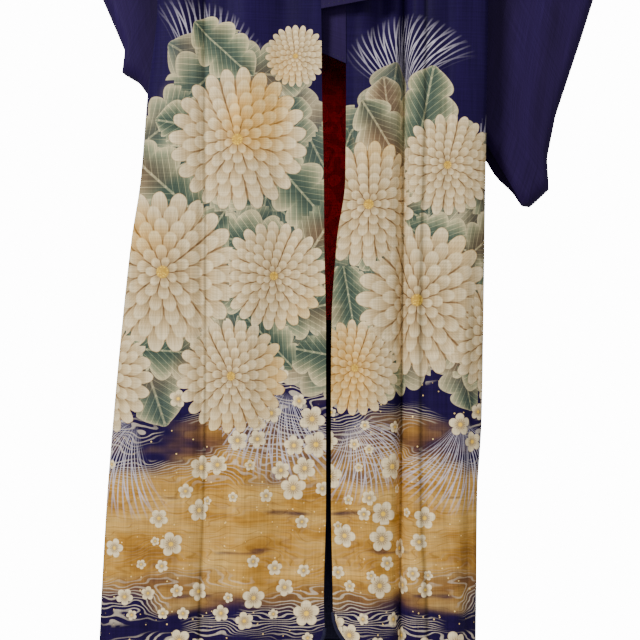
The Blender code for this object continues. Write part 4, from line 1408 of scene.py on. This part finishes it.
steel_wire, tree, sockets = new_finish("bright steel wire")
marks = grain(on_object(tree), 900.0, 2.0, 0.6, (1.0, 1.0, 0.2))
fill_all(sockets, {
    "Base Color": mixed(marks, (0.52, 0.53, 0.55, 1.0), (0.74, 0.74, 0.75, 1.0)),
    "Roughness": span(marks, 0.3, 0.7, 0.16, 0.34), "Metallic": 1.0})

for name, finish in (("hanger_bar", beech), ("hanger_hook", steel_wire)):
    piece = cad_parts[name]
    piece.data.materials.clear()
    piece.data.materials.append(finish)
    piece.data.shade_smooth()
print("hanger finished in", beech.name, "and", steel_wire.name)

# %% [markdown]
# ## Making up the garment
#
# Now the nets become cloth. Each piece gets its motifs' maps, its thickness and its silk,
# rides on the imported body and takes the place of its workbench solid. Where a piece has
# two silks, the second is on its inner face: the fronts show both linings, and the sleeves
# show navy at the cuff.

# %% Body, overlaps, sleeves, collars and linings
COLLAR_LAYER = 0.0008
OVER_START = 0.06         # the over-collar's edge lies this share of the way up the collar


def finish_piece(thing, slot, *solids):
    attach(thing, "root")
    for solid in solids:
        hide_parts(solid)


def cut_piece(name, solid, nets, finishes, wall=WALL, slot="violet_silk", side=None):
    thing = cloth_mesh(name, nets, side == "right")
    if painted_silk in finishes:
        add_design_maps(thing, side)
    for finish in finishes:
        thing.data.materials.append(finish)
    thicken(thing, wall, len(finishes) - 1)
    finish_piece(thing, slot, solid)
    cloth[solid] = thing


cloth = {}
for side in ("right", "left"):
    painted = [painted_silk, both_linings]
    cut_piece("body_cloth_" + side, "body_" + side, BODIES[side], painted, side=side)
    cut_piece("overlap_cloth_" + side, "okumi_" + side, [LAPS[side]], painted, side=side)
for side in ("right", "left"):
    cut_piece("sleeve_cloth_" + side, "sleeve_" + side, SLEEVES[side],
              [plain_silk, navy_silk], side=side)
cut_piece("collar_cloth", "collar", [folded_net(STATIONS, COLLAR_FOLD)], [plain_silk],
          COLLAR_LAYER)
cut_piece("over_collar_cloth", "over_collar",
          [folded_net(OVER_STATIONS, OVER_FOLD, OVER_START)], [plain_silk], COLLAR_LAYER)
cut_piece("upper_lining_cloth", "lining_back", [UPPER_LINING], [crimson_silk], LINING_WALL,
          "crimson_lining")
cut_piece("hem_lining_cloth", "hem_lining_back", [LOWER_LINING], [navy_silk], LINING_WALL,
          "navy_lining")

# %% [markdown]
# The hem lining is turned out a little below the silk and lightly wadded, so a narrow
# navy roll runs all round the hem. It is a tube swept along the cloth's lower edge.

# %% Hem roll
ROLL = 0.0024
ROLL_SIDES = 10
ROLL_POINTS_APART = 0.0015


def swept_tube(name, path, radius):
    along = np.gradient(path, axis=0)
    along /= np.linalg.norm(along, axis=1)[:, None]
    side_way = np.cross(along, (0.0, 0.0, 1.0))
    side_way /= np.maximum(np.linalg.norm(side_way, axis=1), 1e-6)[:, None]
    up = np.cross(side_way, along)
    turn = np.linspace(0.0, math.tau, ROLL_SIDES, endpoint=False)
    rings = (path[:, None] + radius * (np.cos(turn)[None, :, None] * side_way[:, None]
                                       + np.sin(turn)[None, :, None] * up[:, None]))
    index = np.arange(len(path) * ROLL_SIDES).reshape(len(path), ROLL_SIDES)
    onward = np.roll(index, -1, axis=1)
    faces = np.stack([index[:-1], onward[:-1], onward[1:], index[1:]], -1).reshape(-1, 4)
    faces = faces.tolist() + [index[0, ::-1].tolist(), index[-1].tolist()]
    run = np.arange(len(path)).repeat(ROLL_SIDES) * 0.004
    tube = mesh_object(name, rings.reshape(-1, 3), faces, np.column_stack([run, run * 0]))
    tube.data.shade_smooth()
    return tube


for side in ("right", "left"):
    path = np.vstack([LAPS[side][0][0], BODIES[side][0][0][0], BODIES[side][1][0][0]])
    steps = np.linalg.norm(np.diff(path, axis=0), axis=1)
    path = path[np.concatenate([[True], steps > ROLL_POINTS_APART])]
    roll = swept_tube("hem_roll_" + side, path, ROLL)
    roll.data.materials.append(navy_silk)
    finish_piece(roll, "navy_lining")
    cloth["roll_" + side] = roll
    print(roll.name, "runs", len(path), "points")

# %% [markdown]
# The collar's two ends are closed by hand with a row of small dark stitches just above the
# edge. One stitch is modelled from a sphere drawn out long, and copied along each end.

# %% Stitches at the collar's ends
STITCH = (0.0014, 0.00035)    # half length and half thickness
STITCH_STEP = 0.0062
STITCH_INSET = 0.0045


def stitch_row(name, seam, fold, outwards, upwards):
    bpy.ops.object.select_all(action="DESELECT")
    count = int((fold - seam).length / STITCH_STEP)
    way = (fold - seam).normalized()
    turn = Matrix((way, outwards.cross(way).normalized(), outwards)).transposed().to_4x4()
    size = Matrix.Diagonal((STITCH[0], STITCH[1], STITCH[1], 1.0))
    off = upwards * STITCH_INSET + outwards * (COLLAR_FOLD + COLLAR_LAYER / 2)
    made = []
    for number in range(count):
        bpy.ops.mesh.primitive_uv_sphere_add(segments=10, ring_count=6, radius=1.0)
        stitch = bpy.context.object
        spot = seam.lerp(fold, (number + 0.7) / count) + off
        stitch.data.transform(Matrix.Translation(spot) @ turn @ size)
        made.append(stitch)
    for stitch in made:
        stitch.select_set(True)
    bpy.context.view_layer.objects.active = made[0]
    bpy.ops.object.join()
    row = bpy.context.object
    row.name = name
    row.data.materials.append(thread_silk)
    row.data.shade_smooth()
    return row


thread_silk, tree, sockets = new_finish("sewing thread")
twist = grain(on_object(tree), 1800.0, 1.0)
fill_all(sockets, {
    "Base Color": mixed(twist, (0.003, 0.002, 0.008, 1.0), (0.009, 0.006, 0.022, 1.0)),
    "Roughness": 0.5})
seams, across, normals = station_normals(STATIONS)
for name, first, second in (("stitches_right", 0, 1), ("stitches_left", -1, -2)):
    seam = Vector(seams[first])
    outwards = Vector(normals[first]).normalized()
    upwards = (Vector(seams[second]) - seam).normalized()
    row = stitch_row(name, seam, seam + Vector(across[first]), outwards, upwards)
    finish_piece(row, "violet_silk")
    cloth[name] = row
    print(name, "has", len(row.data.polygons), "faces")

# %% [markdown]
# ## The pieces of each side
#
# The cloth's pieces of each side are looked up once more by name; nothing is done with them.
# The body's area leaves out what is folded in at the side seam, and the overlap's leaves out
# its slanting tip.

# %% Pieces of each side
for side in ("right", "left"):
    cloth["body_" + side]
    cloth["roll_" + side]
    cloth["okumi_" + side]
    "body_cloth_" + side
    cloth["sleeve_" + side]
    "body_cloth_" + side

# %% [markdown]
# ## Room, light and camera
#
# The garment hangs above a small pale floor in a white room. The walls give the cloth a
# weak even light, and the wall that the camera sees behind it is brighter. One large soft
# light stands high on the left, where it models the folds, a weaker one fills from the
# right, and a third lights the back. The camera looks straight on at the lower half, two
# metres before the fronts.

# %% Floor and lights
FLOOR_Z = -1.70
ROOM_LIGHT = 0.50          # what the white walls give the cloth
BACKDROP = 14.0            # how bright the wall behind the garment is for the camera
WHITE = (1.0, 1.0, 1.0, 1.0)
bpy.ops.object.select_all(action="DESELECT")
bpy.ops.mesh.primitive_cylinder_add(vertices=96, radius=0.40, depth=0.02,
                                    location=(0.0, 0.0, FLOOR_Z - 0.01))
floor = bpy.context.object
floor.name = "pale_floor"
floor.data.transform(floor.matrix_world)
floor.matrix_world = Matrix.Identity(4)
pale, tree, sockets = new_finish("pale floor")
cloudy = grain(on_object(tree), 12.0, 3.0)
fill_all(sockets, {
    "Base Color": mixed(cloudy, (0.80, 0.79, 0.77, 1.0), (0.86, 0.85, 0.84, 1.0)),
    "Roughness": 0.7})
floor.data.materials.append(pale)

world = bpy.data.worlds.new("white room")
world.use_nodes = True
seen = Output(world.node_tree.nodes.new("ShaderNodeLightPath").outputs["Is Camera Ray"])
fill_all(world.node_tree.nodes["Background"].inputs, {
    "Color": WHITE, "Strength": ROOM_LIGHT + seen * (BACKDROP - ROOM_LIGHT)})
bpy.context.scene.world = world


def soft_light(name, place, target, size, watts):
    lamp = bpy.data.lights.new(name, "AREA")
    lamp.shape, lamp.size, lamp.energy = "DISK", size, watts
    thing = in_scene(name, lamp)
    thing.location = place
    thing.rotation_euler = (Vector(target) - Vector(place)).to_track_quat("-Z", "Y").to_euler()


soft_light("key light", (-1.5, -1.9, 0.1), (0.0, 0.0, -1.1), 0.8, 92.0)
soft_light("fill light", (1.7, -2.2, -0.7), (0.0, 0.0, -1.1), 1.2, 18.0)
soft_light("back light", (0.5, 2.3, -0.2), (0.0, 0.0, -1.0), 1.2, 32.0)
print("floor at z =", FLOOR_Z)

# %% Camera
FRAME_WIDTH = 0.80        # metres that the picture spans at the fronts
CAMERA_WAY = 2.0
FRONT_PLANE = -0.065
camera = in_scene("camera", bpy.data.cameras.new("camera"))
camera.data.sensor_width = 36.0
camera.data.lens = camera.data.sensor_width * CAMERA_WAY / FRAME_WIDTH
camera.location = (-0.00375, FRONT_PLANE - CAMERA_WAY, -1.205)
camera.rotation_euler = (math.pi / 2, 0.0, 0.0)
bpy.context.scene.camera = camera
print("lens:", camera.data.lens)
